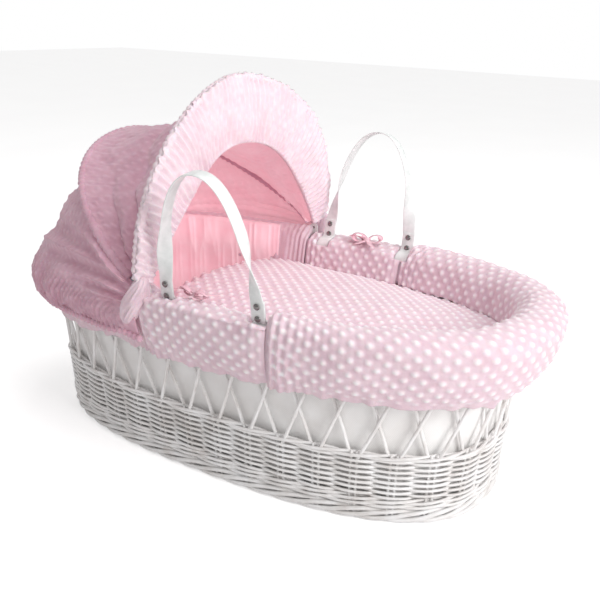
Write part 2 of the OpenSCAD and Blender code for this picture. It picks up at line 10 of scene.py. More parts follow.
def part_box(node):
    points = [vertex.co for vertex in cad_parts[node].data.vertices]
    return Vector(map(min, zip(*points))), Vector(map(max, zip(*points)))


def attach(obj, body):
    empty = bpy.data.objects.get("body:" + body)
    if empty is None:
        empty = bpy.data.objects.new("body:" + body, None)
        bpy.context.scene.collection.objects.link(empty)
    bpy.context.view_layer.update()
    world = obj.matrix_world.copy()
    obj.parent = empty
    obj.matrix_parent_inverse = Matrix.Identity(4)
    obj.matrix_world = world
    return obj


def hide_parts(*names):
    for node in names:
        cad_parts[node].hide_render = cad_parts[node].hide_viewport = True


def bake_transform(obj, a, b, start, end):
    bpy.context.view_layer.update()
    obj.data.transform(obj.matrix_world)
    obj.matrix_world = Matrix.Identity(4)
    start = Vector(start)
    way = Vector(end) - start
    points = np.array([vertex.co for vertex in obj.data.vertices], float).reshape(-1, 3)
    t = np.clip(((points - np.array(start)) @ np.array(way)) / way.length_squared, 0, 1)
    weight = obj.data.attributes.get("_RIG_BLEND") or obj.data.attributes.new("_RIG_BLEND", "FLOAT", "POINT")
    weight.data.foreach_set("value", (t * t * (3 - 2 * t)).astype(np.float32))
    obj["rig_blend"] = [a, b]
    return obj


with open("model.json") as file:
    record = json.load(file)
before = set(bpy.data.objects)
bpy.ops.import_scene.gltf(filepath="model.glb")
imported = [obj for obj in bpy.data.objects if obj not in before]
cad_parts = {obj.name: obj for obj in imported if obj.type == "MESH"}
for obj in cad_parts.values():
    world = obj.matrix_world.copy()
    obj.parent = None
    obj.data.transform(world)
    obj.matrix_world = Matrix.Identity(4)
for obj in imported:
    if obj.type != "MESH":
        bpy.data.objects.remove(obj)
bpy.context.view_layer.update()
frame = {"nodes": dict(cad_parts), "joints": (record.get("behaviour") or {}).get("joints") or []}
joints = {j["name"]: j for j in frame["joints"]}
pi = math.pi


# ---- small tools for numbers and surfaces ----

def signedPower(v, p):
    # the size of v to the power p, with the sign of v
    return np.sign(v) * np.abs(v) ** p


def smooth(x):
    # a ramp from 0 to 1 with level ends: 3x^2 - 2x^3
    x = np.clip(x, 0, 1)
    return x * x * (3 - 2 * x)


def unit(v):
    return v / np.maximum(np.linalg.norm(v, axis=-1, keepdims=True), 1e-12)


def softNoise(u, v, seed):
    # random numbers on a unit lattice, blended smoothly in between, from 0 to 1
    u, v = np.broadcast_arrays(np.asarray(u, float), np.asarray(v, float))
    table = np.random.default_rng(seed).random((64, 64))
    i, j = np.floor(u).astype(int), np.floor(v).astype(int)
    a, b = smooth(u - i), smooth(v - j)
    low = table[i % 64, j % 64] * (1 - a) + table[(i + 1) % 64, j % 64] * a
    high = table[i % 64, (j + 1) % 64] * (1 - a) + table[(i + 1) % 64, (j + 1) % 64] * a
    return low * (1 - b) + high * b


def creases(u, v, seed):
    # folded noise: 1 on sharp ridges, falling to 0 between them
    return 1 - np.abs(2 * softNoise(u, v, seed) - 1)


def lineRun(path):
    # length walked along a line of points, from its first
    return np.concatenate([[0], np.cumsum(np.linalg.norm(np.diff(path, axis=0), axis=1))])


def evenly(path, run, count):
    # the points of a line again, at even steps of its run
    even = np.linspace(0, run[-1], count)
    return np.stack([np.interp(even, run, column) for column in path.T], -1)


def throughPoints(points, steps, scale=1.0):
    # a Catmull-Rom curve through the given rows, sampled evenly along its length in metres
    p = np.asarray(points, float)
    padded = np.vstack([2 * p[0] - p[1], p, 2 * p[-1] - p[-2]])
    x = np.linspace(0, len(p) - 1, 40 * len(p))
    i = np.minimum(x.astype(int), len(p) - 2)
    f = (x - i)[:, None]
    a, b, c, d = padded[i], padded[i + 1], padded[i + 2], padded[i + 3]
    curve = 0.5 * (2 * b + (c - a) * f + (2 * a - 5 * b + 4 * c - d) * f ** 2
                   + (3 * b - a - 3 * c + d) * f ** 3)
    return evenly(curve, lineRun(curve * scale), steps)


def runAlong(points, axis):
    # length walked along one direction of a grid, from its first row
    step = np.linalg.norm(np.diff(points, axis=axis), axis=-1)
    pad = [(0, 0), (0, 0)]
    pad[axis] = (1, 0)
    return np.pad(np.cumsum(step, axis=axis), pad)


def pushOut(points, amount, away):
    # moves each point of a grid along its normal, on the side that faces away from "away"
    normal = unit(np.cross(np.gradient(points, axis=0), np.gradient(points, axis=1)))
    side = np.sign(np.sum(normal * (points - away)))
    return points + normal * side * np.asarray(amount)[..., None]


dot = dict(pitch=0.0215, radius=0.0054, height=0.0027)


def dimples(u, v, height=dot["height"]):
    # raised dots where either of two square lattices, half a pitch apart, has a point:
    # each is height (1 - (distance / radius)^2)^1.4
    def offset(shift):
        a, b = u / dot["pitch"] - shift, v / dot["pitch"] - shift
        return np.hypot(a - np.round(a), b - np.round(b)) * dot["pitch"]
    near = np.minimum(offset(0), offset(0.5))
    return height * np.clip(1 - (near / dot["radius"]) ** 2, 0, 1) ** 1.4


def gridPart(points, closeU=False, closeV=False, uv=None, away=None, tone=None, caps=False):
    # faces over an n by m grid of points: corner (i, j) joins (i + 1, j + 1), and closed
    # directions come back to their start; the faces are turned to look outwards
    n, m = points.shape[:2]
    i = np.arange(n if closeU else n - 1)[:, None]
    j = np.arange(m if closeV else m - 1)[None]
    steps = [(0, 0), (0, 1), (1, 1), (1, 0)]
    quads = np.stack([((i + p) % n) * m + (j + q) % m for p, q in steps], -1).reshape(-1, 4)
    if uv is None:
        uv = (np.linspace(0, 1, n + closeU), np.linspace(0, 1, m + closeV))
    if isinstance(uv, tuple):
        uv = np.stack(np.meshgrid(uv[0], uv[1], indexing="ij"), -1)
    corners = np.stack([uv[i + p, j + q] for p, q in steps], -2).reshape(-1, 4, 2)
    flat = points.reshape(-1, 3)
    c = flat[quads] - (flat.mean(0) if away is None else np.asarray(away))
    volume = sum(np.sum(c[:, 0] * np.cross(c[:, k], c[:, k + 1])) for k in (1, 2))
    ends = []
    if caps:
        ring = np.arange(m)
        ends = [ring[::-1], (n - 1) * m + ring]
    if volume < 0:
        quads, corners = quads[:, ::-1], corners[:, ::-1]
        ends = [e[::-1] for e in ends]
    return dict(points=flat, quads=quads, corners=corners, ends=ends,
                tone=np.zeros(len(flat)) if tone is None else np.broadcast_to(tone, (n, m)).ravel())


def strand(path, radius, sides, closed, up):
    # a round rod carried along a path: a circle in the plane across the path at each point
    ahead = np.roll(path, -1, 0) if closed else np.vstack([path[1:], 2 * path[-1] - path[-2]])
    behind = np.roll(path, 1, 0) if closed else np.vstack([2 * path[0] - path[1], path[:-1]])
    along = unit(ahead - behind)
    across = unit(np.cross(np.asarray(up, float), along))
    other = np.cross(along, across)
    turn = np.arange(sides)[None, :, None] * 2 * pi / sides
    radius = np.broadcast_to(np.asarray(radius, float), (len(path),))[:, None, None]
    return path[:, None] + radius * (across[:, None] * np.cos(turn) + other[:, None] * np.sin(turn))


def rodPart(path, radius, sides=8, closed=False, up=(0, 0, 1), tone=0.0):
    # one rod, with its length in metres along u and its girth in metres along v; its tone
    # also moves the grain along, so that no two rods look alike
    points = strand(path, radius, sides, closed, up)
    u = lineRun(np.vstack([path, path[:1]]) if closed else path) + tone * 3.7
    v = np.linspace(0, 2 * pi * float(np.mean(radius)), sides + 1)
    return gridPart(points, closed, True, (u, v), tone=tone, caps=not closed)


def makePiece(name, parts, materials, body, replaces):
    # one mesh from its grids; a piece with a body rides on it
    base = np.cumsum([0] + [len(p["points"]) for p in parts])
    loops = [(p["quads"] + b).ravel() for p, b in zip(parts, base)]
    corners = [p["corners"].reshape(-1, 2) for p in parts]
    sizes = [np.full(sum(len(p["quads"]) for p in parts), 4)]
    for p, b in zip(parts, base):
        for end in p["ends"]:
            loops.append(end + b)
            corners.append(np.zeros((len(end), 2)))
            sizes.append([len(end)])
    loops, corners, sizes = (np.concatenate(rows) for rows in (loops, corners, sizes))
    starts = np.concatenate([[0], np.cumsum(sizes)[:-1]])
    mesh = bpy.data.meshes.new(name)
    mesh.vertices.add(base[-1])
    mesh.vertices.foreach_set("co", np.concatenate([p["points"] for p in parts]).ravel())
    mesh.loops.add(len(loops))
    mesh.loops.foreach_set("vertex_index", loops.astype(np.int32))
    mesh.polygons.add(len(sizes))
    mesh.polygons.foreach_set("loop_start", starts.astype(np.int32))
    mesh.update(calc_edges=True)
    mesh.uv_layers.new(name="UVMap").data.foreach_set("uv", corners.ravel())
    # tone: on the velour pieces, the dots' height, which the velour paints lighter as a painted highlight;
    # on the rods, a per-rod number
    tone = mesh.attributes.new("tone", "FLOAT", "POINT")
    tone.data.foreach_set("value", np.concatenate([p["tone"] for p in parts]).astype(np.float32))
    mesh.validate()
    mesh.shade_smooth()
    for m in materials:
        mesh.materials.append(m)
    piece = bpy.data.objects.new(name, mesh)
    bpy.context.scene.collection.objects.link(piece)
    if body:
        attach(piece, body)
    if replaces:
        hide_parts(*replaces)
    return piece


def thicken(piece, thickness, innerSlot=0):
    # gives a sheet its cloth's thickness, inwards, and another finish on its inner side
    shell = piece.modifiers.new("thickness", "SOLIDIFY")
    shell.thickness, shell.offset = thickness, -1
    shell.use_rim, shell.use_even_offset = True, False
    shell.material_offset = innerSlot


def closeCentre(piece):
    # joins the points that meet and fills the holes left at the middles of round shapes
    shape = bmesh.new()
    shape.from_mesh(piece.data)
    bmesh.ops.remove_doubles(shape, verts=shape.verts, dist=1e-6)
    rims = [e for e in shape.edges if e.is_boundary]
    if rims:
        bmesh.ops.holes_fill(shape, edges=rims, sides=0)
    shape.to_mesh(piece.data)
    shape.free()
    piece.data.shade_smooth()
    return piece


# ---- finishes ----

def fromHex(value):
    # an sRGB hex colour as the linear numbers that the shader takes
    rgb = [int(value[i:i + 2], 16) / 255 for i in (1, 3, 5)]
    return [c / 12.92 if c <= 0.04045 else ((c + 0.055) / 1.055) ** 2.4 for c in rgb] + [1]


def addNode(material, kind, inputs=None, **settings):
    # one shader node: a value is set on its socket, and another node's socket is linked
    node = material.node_tree.nodes.new(kind)
    for key, value in settings.items():
        setattr(node, key, value)
    for key, value in (inputs or {}).items():
        if isinstance(value, bpy.types.NodeSocket):
            material.node_tree.links.new(value, node.inputs[key])
        else:
            node.inputs[key].default_value = value
    return node


def newMaterial(name):
    # a material, its shader, and the coordinates that its textures are placed by
    material = bpy.data.materials.new(name)
    material.use_nodes = True
    place = addNode(material, "ShaderNodeTexCoord").outputs
    return material, material.node_tree.nodes["Principled BSDF"], place


def noise(material, vector, scale, detail=2.0, roughness=0.5):
    inputs = {"Vector": vector, "Scale": scale, "Detail": detail, "Roughness": roughness}
    return addNode(material, "ShaderNodeTexNoise", inputs).outputs["Fac"]


def wave(material, vector, scale, distortion, direction):
    inputs = {"Vector": vector, "Scale": scale, "Distortion": distortion}
    return addNode(material, "ShaderNodeTexWave", inputs, bands_direction=direction).outputs["Fac"]


def combine(material, operation, *values):
    # arithmetic on textures; multiply and add gives the first by the second, plus the third
    return addNode(material, "ShaderNodeMath", dict(enumerate(values)), operation=operation).outputs[0]


def bumps(material, height, strength, distance):
    inputs = {"Height": height, "Strength": strength, "Distance": distance}
    return addNode(material, "ShaderNodeBump", inputs).outputs[0]


def colourRamp(material, factor, stops):
    ramp = addNode(material, "ShaderNodeValToRGB", {"Fac": factor})
    for k, (place, colour) in enumerate(stops):
        stop = ramp.color_ramp.elements[k] if k < 2 else ramp.color_ramp.elements.new(place)
        stop.position, stop.color = place, fromHex(colour)
    return ramp.outputs["Color"]


def setShader(shader, colour=None, bump=None, **values):
    tree = shader.id_data
    for key, value in values.items():
        shader.inputs[key.replace("_", " ")].default_value = value
    if colour is not None:
        tree.links.new(colour, shader.inputs["Base Color"])
    if bump is not None:
        tree.links.new(bump, shader.inputs["Normal"])


def whiteWillow():
    # Peeled willow rods, woven damp and then sprayed white: satin paint that fills the grain,
    # thin along the rod's length and greyer in the hollows. The grain is 22 mm by 1 mm.
    m, shader, place = newMaterial("white painted willow")
    along = addNode(m, "ShaderNodeMapping", {"Vector": place["UV"], "Scale": (45, 900, 1)})
    grain = noise(m, along.outputs[0], 1.0, 4.0)
    patch = noise(m, place["Object"], 28.0, 3.0)
    half = combine(m, "MULTIPLY", combine(m, "ADD", grain, patch), 0.5)
    colour = colourRamp(m, half, [(0.30, "#cfc7c3"), (0.45, "#edeae8"), (0.60, "#fbfafa")])
    setShader(shader, colour, bumps(m, grain, 0.35, 0.0006), Roughness=0.42, IOR=1.48,
              Coat_Weight=0.12, Coat_Roughness=0.35)
    return m


def plushCloth(name, deep, middle, light):
    # Dimpled velour: knitted polyester with a cut pile 2 mm long, whose dots are embossed.
    # The pile gives a pale edge where it is seen sideways, and the dots are painted lighter: a painted
    # highlight for the light that their raised tops catch.
    m, shader, place = newMaterial(name)
    tone = addNode(m, "ShaderNodeAttribute", attribute_name="tone").outputs["Fac"]
    nap = noise(m, place["Object"], 42.0, 5.0, 0.65)
    hair = noise(m, place["Object"], 1500.0)
    # painted highlight: the tone attribute, the dots' height, lightens the colour on the dot tops; the nap
    # noise is the pile's own uneven colour
    lift = combine(m, "MULTIPLY_ADD", tone, 0.62, combine(m, "MULTIPLY", nap, 0.42))
    fine = combine(m, "MULTIPLY_ADD", hair, 0.22, lift)
    colour = colourRamp(m, fine, [(0.16, deep), (0.42, middle), (0.95, light)])
    height = combine(m, "MULTIPLY_ADD", nap, 1.6, hair)
    setShader(shader, colour, bumps(m, height, 0.5, 0.0008), Roughness=0.92, IOR=1.46,
              Specular_IOR_Level=0.12, Sheen_Weight=0.55, Sheen_Roughness=0.45,
              Sheen_Tint=(1.0, 0.93, 0.95, 1.0), Subsurface_Weight=0.08, Subsurface_Scale=0.004)
    return m


def wovenCloth(name, dark, light, thread=0.0009, sheen=0.15, glow=0.0):
    # Plain woven cotton: over and under threads, drawn about twice as coarse as real so that
    # they show, with a soft uneven dye. A glow stands for light that comes through the cloth.
    m, shader, place = newMaterial(name)
    warp = wave(m, place["Object"], 0.16 / thread, 0.6, "Z")
    weft = wave(m, place["Object"], 0.16 / thread, 0.6, "DIAGONAL")
    cross = combine(m, "MULTIPLY", warp, weft)
    dye = noise(m, place["Object"], 22.0, 4.0)
    colour = colourRamp(m, combine(m, "MULTIPLY_ADD", cross, 0.25, dye), [(0.32, dark), (0.72, light)])
    setShader(shader, colour, bumps(m, cross, 0.3, 0.0003), Roughness=0.85, IOR=1.46,
              Specular_IOR_Level=0.2, Sheen_Weight=sheen, Sheen_Roughness=0.5,
              Emission_Color=fromHex(light), Emission_Strength=glow)
    return m


def satinRibbon():
    # Satin ribbon, woven with long floating threads: glossy across, with a fine rib along it.
    m, shader, place = newMaterial("pale pink satin ribbon")
    rib = wave(m, place["UV"], 160.0, 0.3, "Y")
    colour = colourRamp(m, noise(m, place["Object"], 60.0), [(0.3, "#f2b9c8"), (0.7, "#fbdbe3")])
    setShader(shader, colour, bumps(m, rib, 0.2, 0.0002), Roughness=0.38, IOR=1.5,
              Sheen_Weight=0.3, Sheen_Roughness=0.3)
    return m


def strapLeather():
    # White coated leather: split hide with a pressed, pigmented film. Fine pores and a slight
    # unevenness break up its soft gloss.
    m, shader, place = newMaterial("white coated leather")
    pores = addNode(m, "ShaderNodeTexVoronoi", {"Vector": place["Object"], "Scale": 900.0})
    wear = noise(m, place["Object"], 60.0, 5.0)
    colour = colourRamp(m, wear, [(0.3, "#dfe3e1"), (0.62, "#f3f5f4")])
    setShader(shader, colour, bumps(m, pores.outputs["Distance"], 0.25, 0.0003), Roughness=0.46,
              IOR=1.5, Coat_Weight=0.1, Coat_Roughness=0.4)
    return m


def polishedNickel():
    # Pressed steel caps, polished and nickel plated: a mirror with faint turning marks.
    m, shader, place = newMaterial("polished nickel plate")
    marks = noise(m, place["Object"], 700.0)
    rough = addNode(m, "ShaderNodeMapRange", {"Value": marks, "To Min": 0.10, "To Max": 0.24})
    m.node_tree.links.new(rough.outputs[0], shader.inputs["Roughness"])
    setShader(shader, Base_Color=fromHex("#8d8988"), Metallic=1.0)
    return m


def zincWire():
    # Drawn spring steel, zinc plated: grey with a fine crystalline bloom.
    m, shader, place = newMaterial("zinc plated spring steel")
    bloom = noise(m, place["Object"], 260.0, 4.0)
    colour = colourRamp(m, bloom, [(0.35, "#8f9397"), (0.7, "#b9bdc1")])
    setShader(shader, colour, bumps(m, bloom, 0.15, 0.0002), Roughness=0.38, Metallic=1.0)
    return m


def powderCoat():
    # Steel strip, powder coated white and baked: the powder flows out to a faint orange peel.
    m, shader, place = newMaterial("white powder coated steel")
    peel = noise(m, place["Object"], 420.0)
    colour = colourRamp(m, peel, [(0.3, "#dddcda"), (0.7, "#efeeec")])
    setShader(shader, colour, bumps(m, peel, 0.2, 0.0003), Roughness=0.35, IOR=1.5)
    return m


def wovenBase():
    # The basket's floor: flat willow strips woven over the sticks, painted white from outside.
    m, shader, place = newMaterial("woven willow floor")
    strips = wave(m, place["Object"], 32.0, 1.2, "X")
    ribs = wave(m, place["Object"], 3.4, 0.4, "Y")
    weave = combine(m, "MULTIPLY", strips, ribs)
    colour = colourRamp(m, weave, [(0.05, "#b5aba4"), (0.5, "#eae6e3")])
    setShader(shader, colour, bumps(m, weave, 0.9, 0.002), Roughness=0.5, IOR=1.48)
    return m


willow = whiteWillow()
plush = plushCloth("pink dimpled velour", "#dbb9c6", "#eed8e0", "#fdf8fa")
# a darker copy of the dimpled velour: painted shade for the hood, its hem and the rear hoop's channel, which
# turn away from the foot light
shadedPlush = plushCloth("dusky pink crushed velour", "#c995a8", "#e5bccb", "#f9e6ed")
# a paler copy of the dimpled velour: painted light for the hood's facing and front hoop's channel, which
# face the foot light
litPlush = plushCloth("pale pink gathered velour", "#efd2dc", "#fae9ef", "#fefafc")
liningPink = wovenCloth("pink brushed cotton lining", "#f5bfcb", "#fcd8df", sheen=0.35, glow=0.20)
linerWhite = wovenCloth("white cotton liner", "#edeae8", "#faf9f8")
mattressWhite = wovenCloth("white quilted mattress cover", "#e9e8e6", "#f8f7f5", thread=0.0012)
ribbonPink = satinRibbon()
leather = strapLeather()
nickel = polishedNickel()
wire = zincWire()
coated = powderCoat()
floorWeave = wovenBase()
print("finishes ready")


# ---- the basket's outline ----

basket = dict(
    baseHalfLength=0.384, baseHalfWidth=0.188,   # the outline at the floor
    rimHeight=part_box("rim_border")[1].z,
    endFlare=0.036, sideFlare=0.038,             # how far the wall leans out at ends and sides
    squareness=2.6,                              # 2 would be an ellipse
    stakePairs=36, stakeShift=0.62, stakeSpread=0.08,
    middle=-0.0045,                              # middle of the woven wall, from the outline
)
rimHeight = basket["rimHeight"]
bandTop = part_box("lower_band")[1].z
rimCentreZ = rimHeight - 0.011


def leanPart(z, straight):
    k = z / rimHeight
    return straight * k + (1 - straight) * k * k


def halfLength(z):
    return basket["baseHalfLength"] + basket["endFlare"] * leanPart(z, 0.23)


def halfWidth(z):
    return basket["baseHalfWidth"] + basket["sideFlare"] * leanPart(z, 0.64)


def outline(t, z, r):
    # a rounded rectangle, x = (length + r) cos^p and y = (width + r) sin^p, at height z
    t, z, r = np.broadcast_arrays(np.asarray(t, float), np.asarray(z, float), np.asarray(r, float))
    p = 2 / basket["squareness"]
    return np.stack([(halfLength(z) + r) * signedPower(np.cos(t), p),
                     (halfWidth(z) + r) * signedPower(np.sin(t), p), z], -1)


fineTurn = np.linspace(0, 2 * pi, 20001)
fineRun = lineRun(outline(fineTurn, bandTop, 0))
girth = fineRun[-1]


def evenAngle(s):
    # the outline's angle at a part s of the way round it
    return np.interp(np.mod(s, 1), fineRun / girth, fineTurn) + 2 * pi * np.floor(s)


def shareAt(angle):
    # the part of the way round for an angle, which may be negative
    return np.sign(angle) * np.interp(abs(angle), fineTurn, fineRun / girth)


def angleAtX(x, z):
    # the angle, on the far side, whose outline point has the given x
    return math.acos(signedPower(x / halfLength(z), basket["squareness"] / 2))


# ---- woven walls ----

weave = dict(
    rows=15, low=0.0405, high=0.1005,            # rows of single rods in and out of the stakes
    rod=0.00215, depth=0.0042, perStake=12, wobble=0.0011,
)
waling = dict(levels=[0.0275, 0.0345, 0.1050], strands=3, perStake=10, rod=0.0023, depth=0.0052, lift=0.0024)
footPlait = dict(strands=5, turns=9, perStake=12, rod=0.0033, depth=0.0043, lift=0.0076,
                 middle=-0.0048, centre=0.0113)
stakes = dict(low=0.098, high=0.228, rod=0.0026, bow=0.004, layers={1: -0.0029, -1: -0.0081},
              foot=0.006, bandRod=0.0021)


def wovenRow(row):
    # a rod round the wall whose distance from it swings out and in, once every two stakes
    count = basket["stakePairs"] * weave["perStake"]
    s = np.arange(count) / count
    swing = np.cos(pi * (basket["stakePairs"] * s - basket["stakeShift"]) + pi * row)
    z = weave["low"] + (weave["high"] - weave["low"]) * row / (weave["rows"] - 1)
    z = z + (softNoise(s * 30, row * 2.3, 3) - 0.5) * weave["wobble"]
    r = basket["middle"] + weave["depth"] * signedPower(swing, 0.62)
    thick = weave["rod"] * (0.88 + 0.24 * softNoise(s * 14, row * 1.7, 5))
    return rodPart(outline(evenAngle(s), z, r), thick, closed=True, tone=row * 0.13)


def walingRow(level, k):
    # one of three rods that pass outside two stakes and inside one, lying over each other
    count = basket["stakePairs"] * waling["perStake"]
    s = np.arange(count) / count
    phase = 2 * pi * ((basket["stakePairs"] * s - basket["stakeShift"]) / 3 + k / waling["strands"])
    r = basket["middle"] + waling["depth"] * np.cos(phase)
    z = level + waling["lift"] * np.sin(phase)
    return rodPart(outline(evenAngle(s), z, r), waling["rod"], closed=True, tone=0.4 + 0.1 * k)


def plaitStrand(k):
    # one strand of the foot: it winds round a flat oval core, in long strokes
    count = basket["stakePairs"] * footPlait["perStake"]
    s = np.arange(count) / count
    phase = 2 * pi * (footPlait["turns"] * s + k / footPlait["strands"])
    r = footPlait["middle"] + footPlait["depth"] * signedPower(np.cos(phase), 0.8)
    z = footPlait["centre"] + footPlait["lift"] * signedPower(np.sin(phase), 0.85)
    thick = footPlait["rod"] * (0.9 + 0.2 * softNoise(s * 20, k * 3.1, 8))
    return rodPart(outline(evenAngle(s), z, r), thick, sides=10, closed=True, tone=0.2 * k)


def bandStake(k, side):
    # a stake inside the closed weaving, following the wall's lean
    s = (k + basket["stakeShift"] + side * basket["stakeSpread"]) / basket["stakePairs"]
    z = np.linspace(stakes["foot"], bandTop + 0.001, 10)
    path = outline(evenAngle(s), z, basket["middle"])
    return rodPart(path, stakes["bandRod"], up=(1, 0.3, 0), tone=k * 0.07)


def crossedStake(k, turn):
    # a stake that leans across to its neighbour: a straight rod, a little bowed and tapered,
    # with one knot somewhere along it
    spread = turn * np.array([basket["stakeSpread"], 1 - basket["stakeSpread"]])
    s = (k + basket["stakeShift"] + spread) / basket["stakePairs"]
    heights = np.array([stakes["low"], stakes["high"]])
    ends = outline(evenAngle(s), heights, stakes["layers"][turn])
    f = np.linspace(0, 1, 14)
    bow = (softNoise(k * 1.3, turn + 4, 11) - 0.5) * stakes["bow"] * np.sin(pi * f)
    side = unit(np.cross(ends[1] - ends[0], [0, 0, 1.0]))
    tangent = unit(np.cross(side, ends[1] - ends[0]))
    path = ends[0] * (1 - f[:, None]) + ends[1] * f[:, None] + tangent * bow[:, None]
    knot = 0.10 * np.exp(-((f - 0.3 - 0.4 * softNoise(k, turn, 2)) / 0.05) ** 2)
    thick = stakes["rod"] * (1.04 - 0.16 * f) * (1 + knot)
    return rodPart(path, thick, sides=10, up=(1, 0.3, 0), tone=k * 0.19 + turn)


pairs = range(basket["stakePairs"])
makePiece("weaving", [wovenRow(k) for k in range(weave["rows"])], [willow], "basket",
          ["lower_band"])
makePiece("waling", [walingRow(z, k) for z in waling["levels"] for k in range(waling["strands"])],
          [willow], "basket", ())
makePiece("footPlait", [plaitStrand(k) for k in range(footPlait["strands"])], [willow], "basket",
          ["foot_border"])
makePiece("bandStakes", [bandStake(k, side) for k in pairs for side in (-1, 1)], [willow],
          "basket", ())
makePiece("crossedStakes", [crossedStake(k, turn) for k in pairs for turn in (-1, 1)], [willow],
          "basket", ["stakes"])
print("weaving ready")


# ---- liner and bedding ----

bedding = dict(
    linerFloor=0.0127, linerTop=0.2335, linerOut=-0.0128, linerThick=0.0009, linerFold=0.0028,
    mattressLow=0.0145, mattressHigh=0.054, mattressEdge=-0.0195, mattressRound=0.014,
    coverletTop=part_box("coverlet")[1].z - 0.001, shoulder=0.226, tuck=-0.0185, headEdge=-0.118,
    quilt=0.010, step=0.0023,
)


def linerSheet():
    # the cloth wall inside the stakes: flat panels that sink softly between upright folds
    count = 720
    s = np.linspace(0, 1, count + 1)[:-1][:, None]
    floor = np.linspace(0.04, 0.97, 9)[None]
    z = np.linspace(bedding["linerFloor"] + 0.002, bedding["linerTop"], 44)[None]
    folds = softNoise(s * 36, z * 9, 21) + 0.5 * softNoise(s * 90, z * 14, 22)
    wall = outline(evenAngle(s), z, bedding["linerOut"] - bedding["linerFold"] * folds)
    ground = outline(evenAngle(s), bedding["linerFloor"], bedding["linerOut"] - 0.004)
    ground = ground * np.stack([floor, floor, np.ones_like(floor)], -1)
    points = np.concatenate([ground, wall], 1)
    uv = (np.linspace(0, girth, count + 1), runAlong(points[:1], 1)[0])
    return gridPart(points, closeU=True, uv=uv, away=(0, 0, 0.3))


liner = makePiece("liner", [linerSheet()], [linerWhite], "basket", ["liner"])
thicken(liner, bedding["linerThick"])


def mattressPad():
    # a slab whose edge is rounded and whose top is quilted in a lattice of shallow channels
    count, under, over, corner = 360, 8, 46, bedding["mattressRound"]
    s = np.linspace(0, 1, count + 1)[:-1][:, None]
    low, high, edge = bedding["mattressLow"], bedding["mattressHigh"], bedding["mattressEdge"]
    a = np.linspace(-pi / 2, pi / 2, 13)
    rimZ = (low + high) / 2 + (high - low) / 2 * np.sin(a)
    scale = np.concatenate([np.linspace(0.03, 0.98, under), np.ones(13), np.linspace(0.985, 0.02, over)])
    r = edge - corner + corner * np.concatenate([np.zeros(under), np.cos(a), np.zeros(over)])
    z = np.concatenate([np.full(under, low), rimZ, np.full(over, high)])
    points = outline(evenAngle(s), z[None], r[None])
    points[..., :2] *= scale[None, :, None]
    x, y = points[..., 0], points[..., 1]
    lines = [np.abs(np.sin(pi * (x + sign * y) / 0.09)) for sign in (1, -1)]
    top = (points[..., 2] > high - 0.002) * smooth((1 - scale[None]) * 8)
    points[..., 2] += top * (0.004 * smooth(np.minimum(*lines) * 2.5) - 0.0045)
    uv = (np.linspace(0, girth, count + 1), runAlong(points[:1], 1)[0])
    return gridPart(points, closeU=True, uv=uv)


mattress = makePiece("mattress", [mattressPad()], [mattressWhite], "basket", ["mattress"])
closeCentre(mattress)


def shareOut(x, y, length, width):
    # the part of the way from the middle to a rounded outline
    p = basket["squareness"]
    return np.clip(((np.abs(x) / length) ** p + (np.abs(y) / width) ** p) ** (1 / p), 0, 1)


def coverletSurface():
    # The quilt in rows across the bed: a low vault z = shoulder + rise (1 - u^2.4) inside the
    # outline, u being the part of the way to it, and a skirt that goes down along the liner.
    shoulder, tuck, step = bedding["shoulder"], bedding["tuck"], bedding["step"]
    length, width = halfLength(shoulder) + tuck, halfWidth(shoulder) + tuck
    last = math.acos(signedPower(bedding["headEdge"] / length, basket["squareness"] / 2))
    turn = np.linspace(0, last, 4001)
    run = lineRun(outline(turn, shoulder, tuck))
    t = np.interp(np.linspace(0, run[-1], int(run[-1] / step)), run, turn)[:, None]
    across = np.linspace(-1, 1, int(2 * width / step))[None]
    rim = outline(t, shoulder, tuck)
    x, y = rim[..., 0] + 0 * across, rim[..., 1] * across
    rise = bedding["coverletTop"] - 0.003 - shoulder
    crown = np.stack([x, y, shoulder + rise * (1 - shareOut(x, y, length, width) ** 2.4)], -1)
    down = np.linspace(1, 0, 14)[None, 1:]
    low = bedding["mattressHigh"] + 0.004
    right = outline(t, low + (shoulder - low) * down, tuck)
    left = right[:, ::-1] * np.array([1, -1, 1])
    points = np.concatenate([left, crown, right], 1)
    onTop = np.concatenate([0 * left[..., 0], np.ones_like(x), 0 * right[..., 0]], 1)
    px, py = points[..., 0], points[..., 1]
    dots = dimples(px, py) * onTop * smooth((1 - shareOut(px, py, length, width)) * 12)
    soft = (softNoise(px / 0.07 + 9, py / 0.06 + 9, 31) - 0.5) * 0.006 * onTop
    hem = np.clip(1 - (px - bedding["headEdge"]) / 0.022, 0, 1) * onTop
    ruffle = 0.0026 * np.sin(2 * pi * py / 0.027 + 5 * softNoise(py / 0.04, 0 * py, 33))
    away = np.array([0.1, 0, 0.05])
    moved = pushOut(points, dots + soft + hem * (ruffle - 0.004 * hem), away)
    return gridPart(moved, uv=np.stack([px, py], -1), away=away, tone=dots / dot["height"])


coverlet = makePiece("coverlet", [coverletSurface()], [plush], "basket", ["coverlet"])
thicken(coverlet, bedding["quilt"])
print("bedding ready")


# ---- padded trim round the rim ----

trimShape = dict(
    hem=rimHeight - 0.084, inner=rimHeight - 0.047, top=rimHeight + 0.020, flapTop=rimHeight + 0.010,
    sidePuff=0.022, footPuff=0.038, headPuff=0.012, wrap=0.0015, step=0.0023,
)
handles = dict(
    centre=joints["handle_far_swing"]["pos_m"][0], turnY=joints["handle_far_swing"]["pos_m"][1],
    span=0.1555, rise=0.211, lean=math.radians(9), width=0.022, thick=0.0025, offset=0.0065,
    inLimit=math.radians(69), outLimit=math.radians(21), slotClear=0.013, slotHalf=0.0155,
    slotRoom=0.0135,
)
handleX = [handles["centre"] - handles["span"] / 2, handles["centre"] + handles["span"] / 2]
pivot = np.array(joints["hood_rear_fold"]["pos_m"])


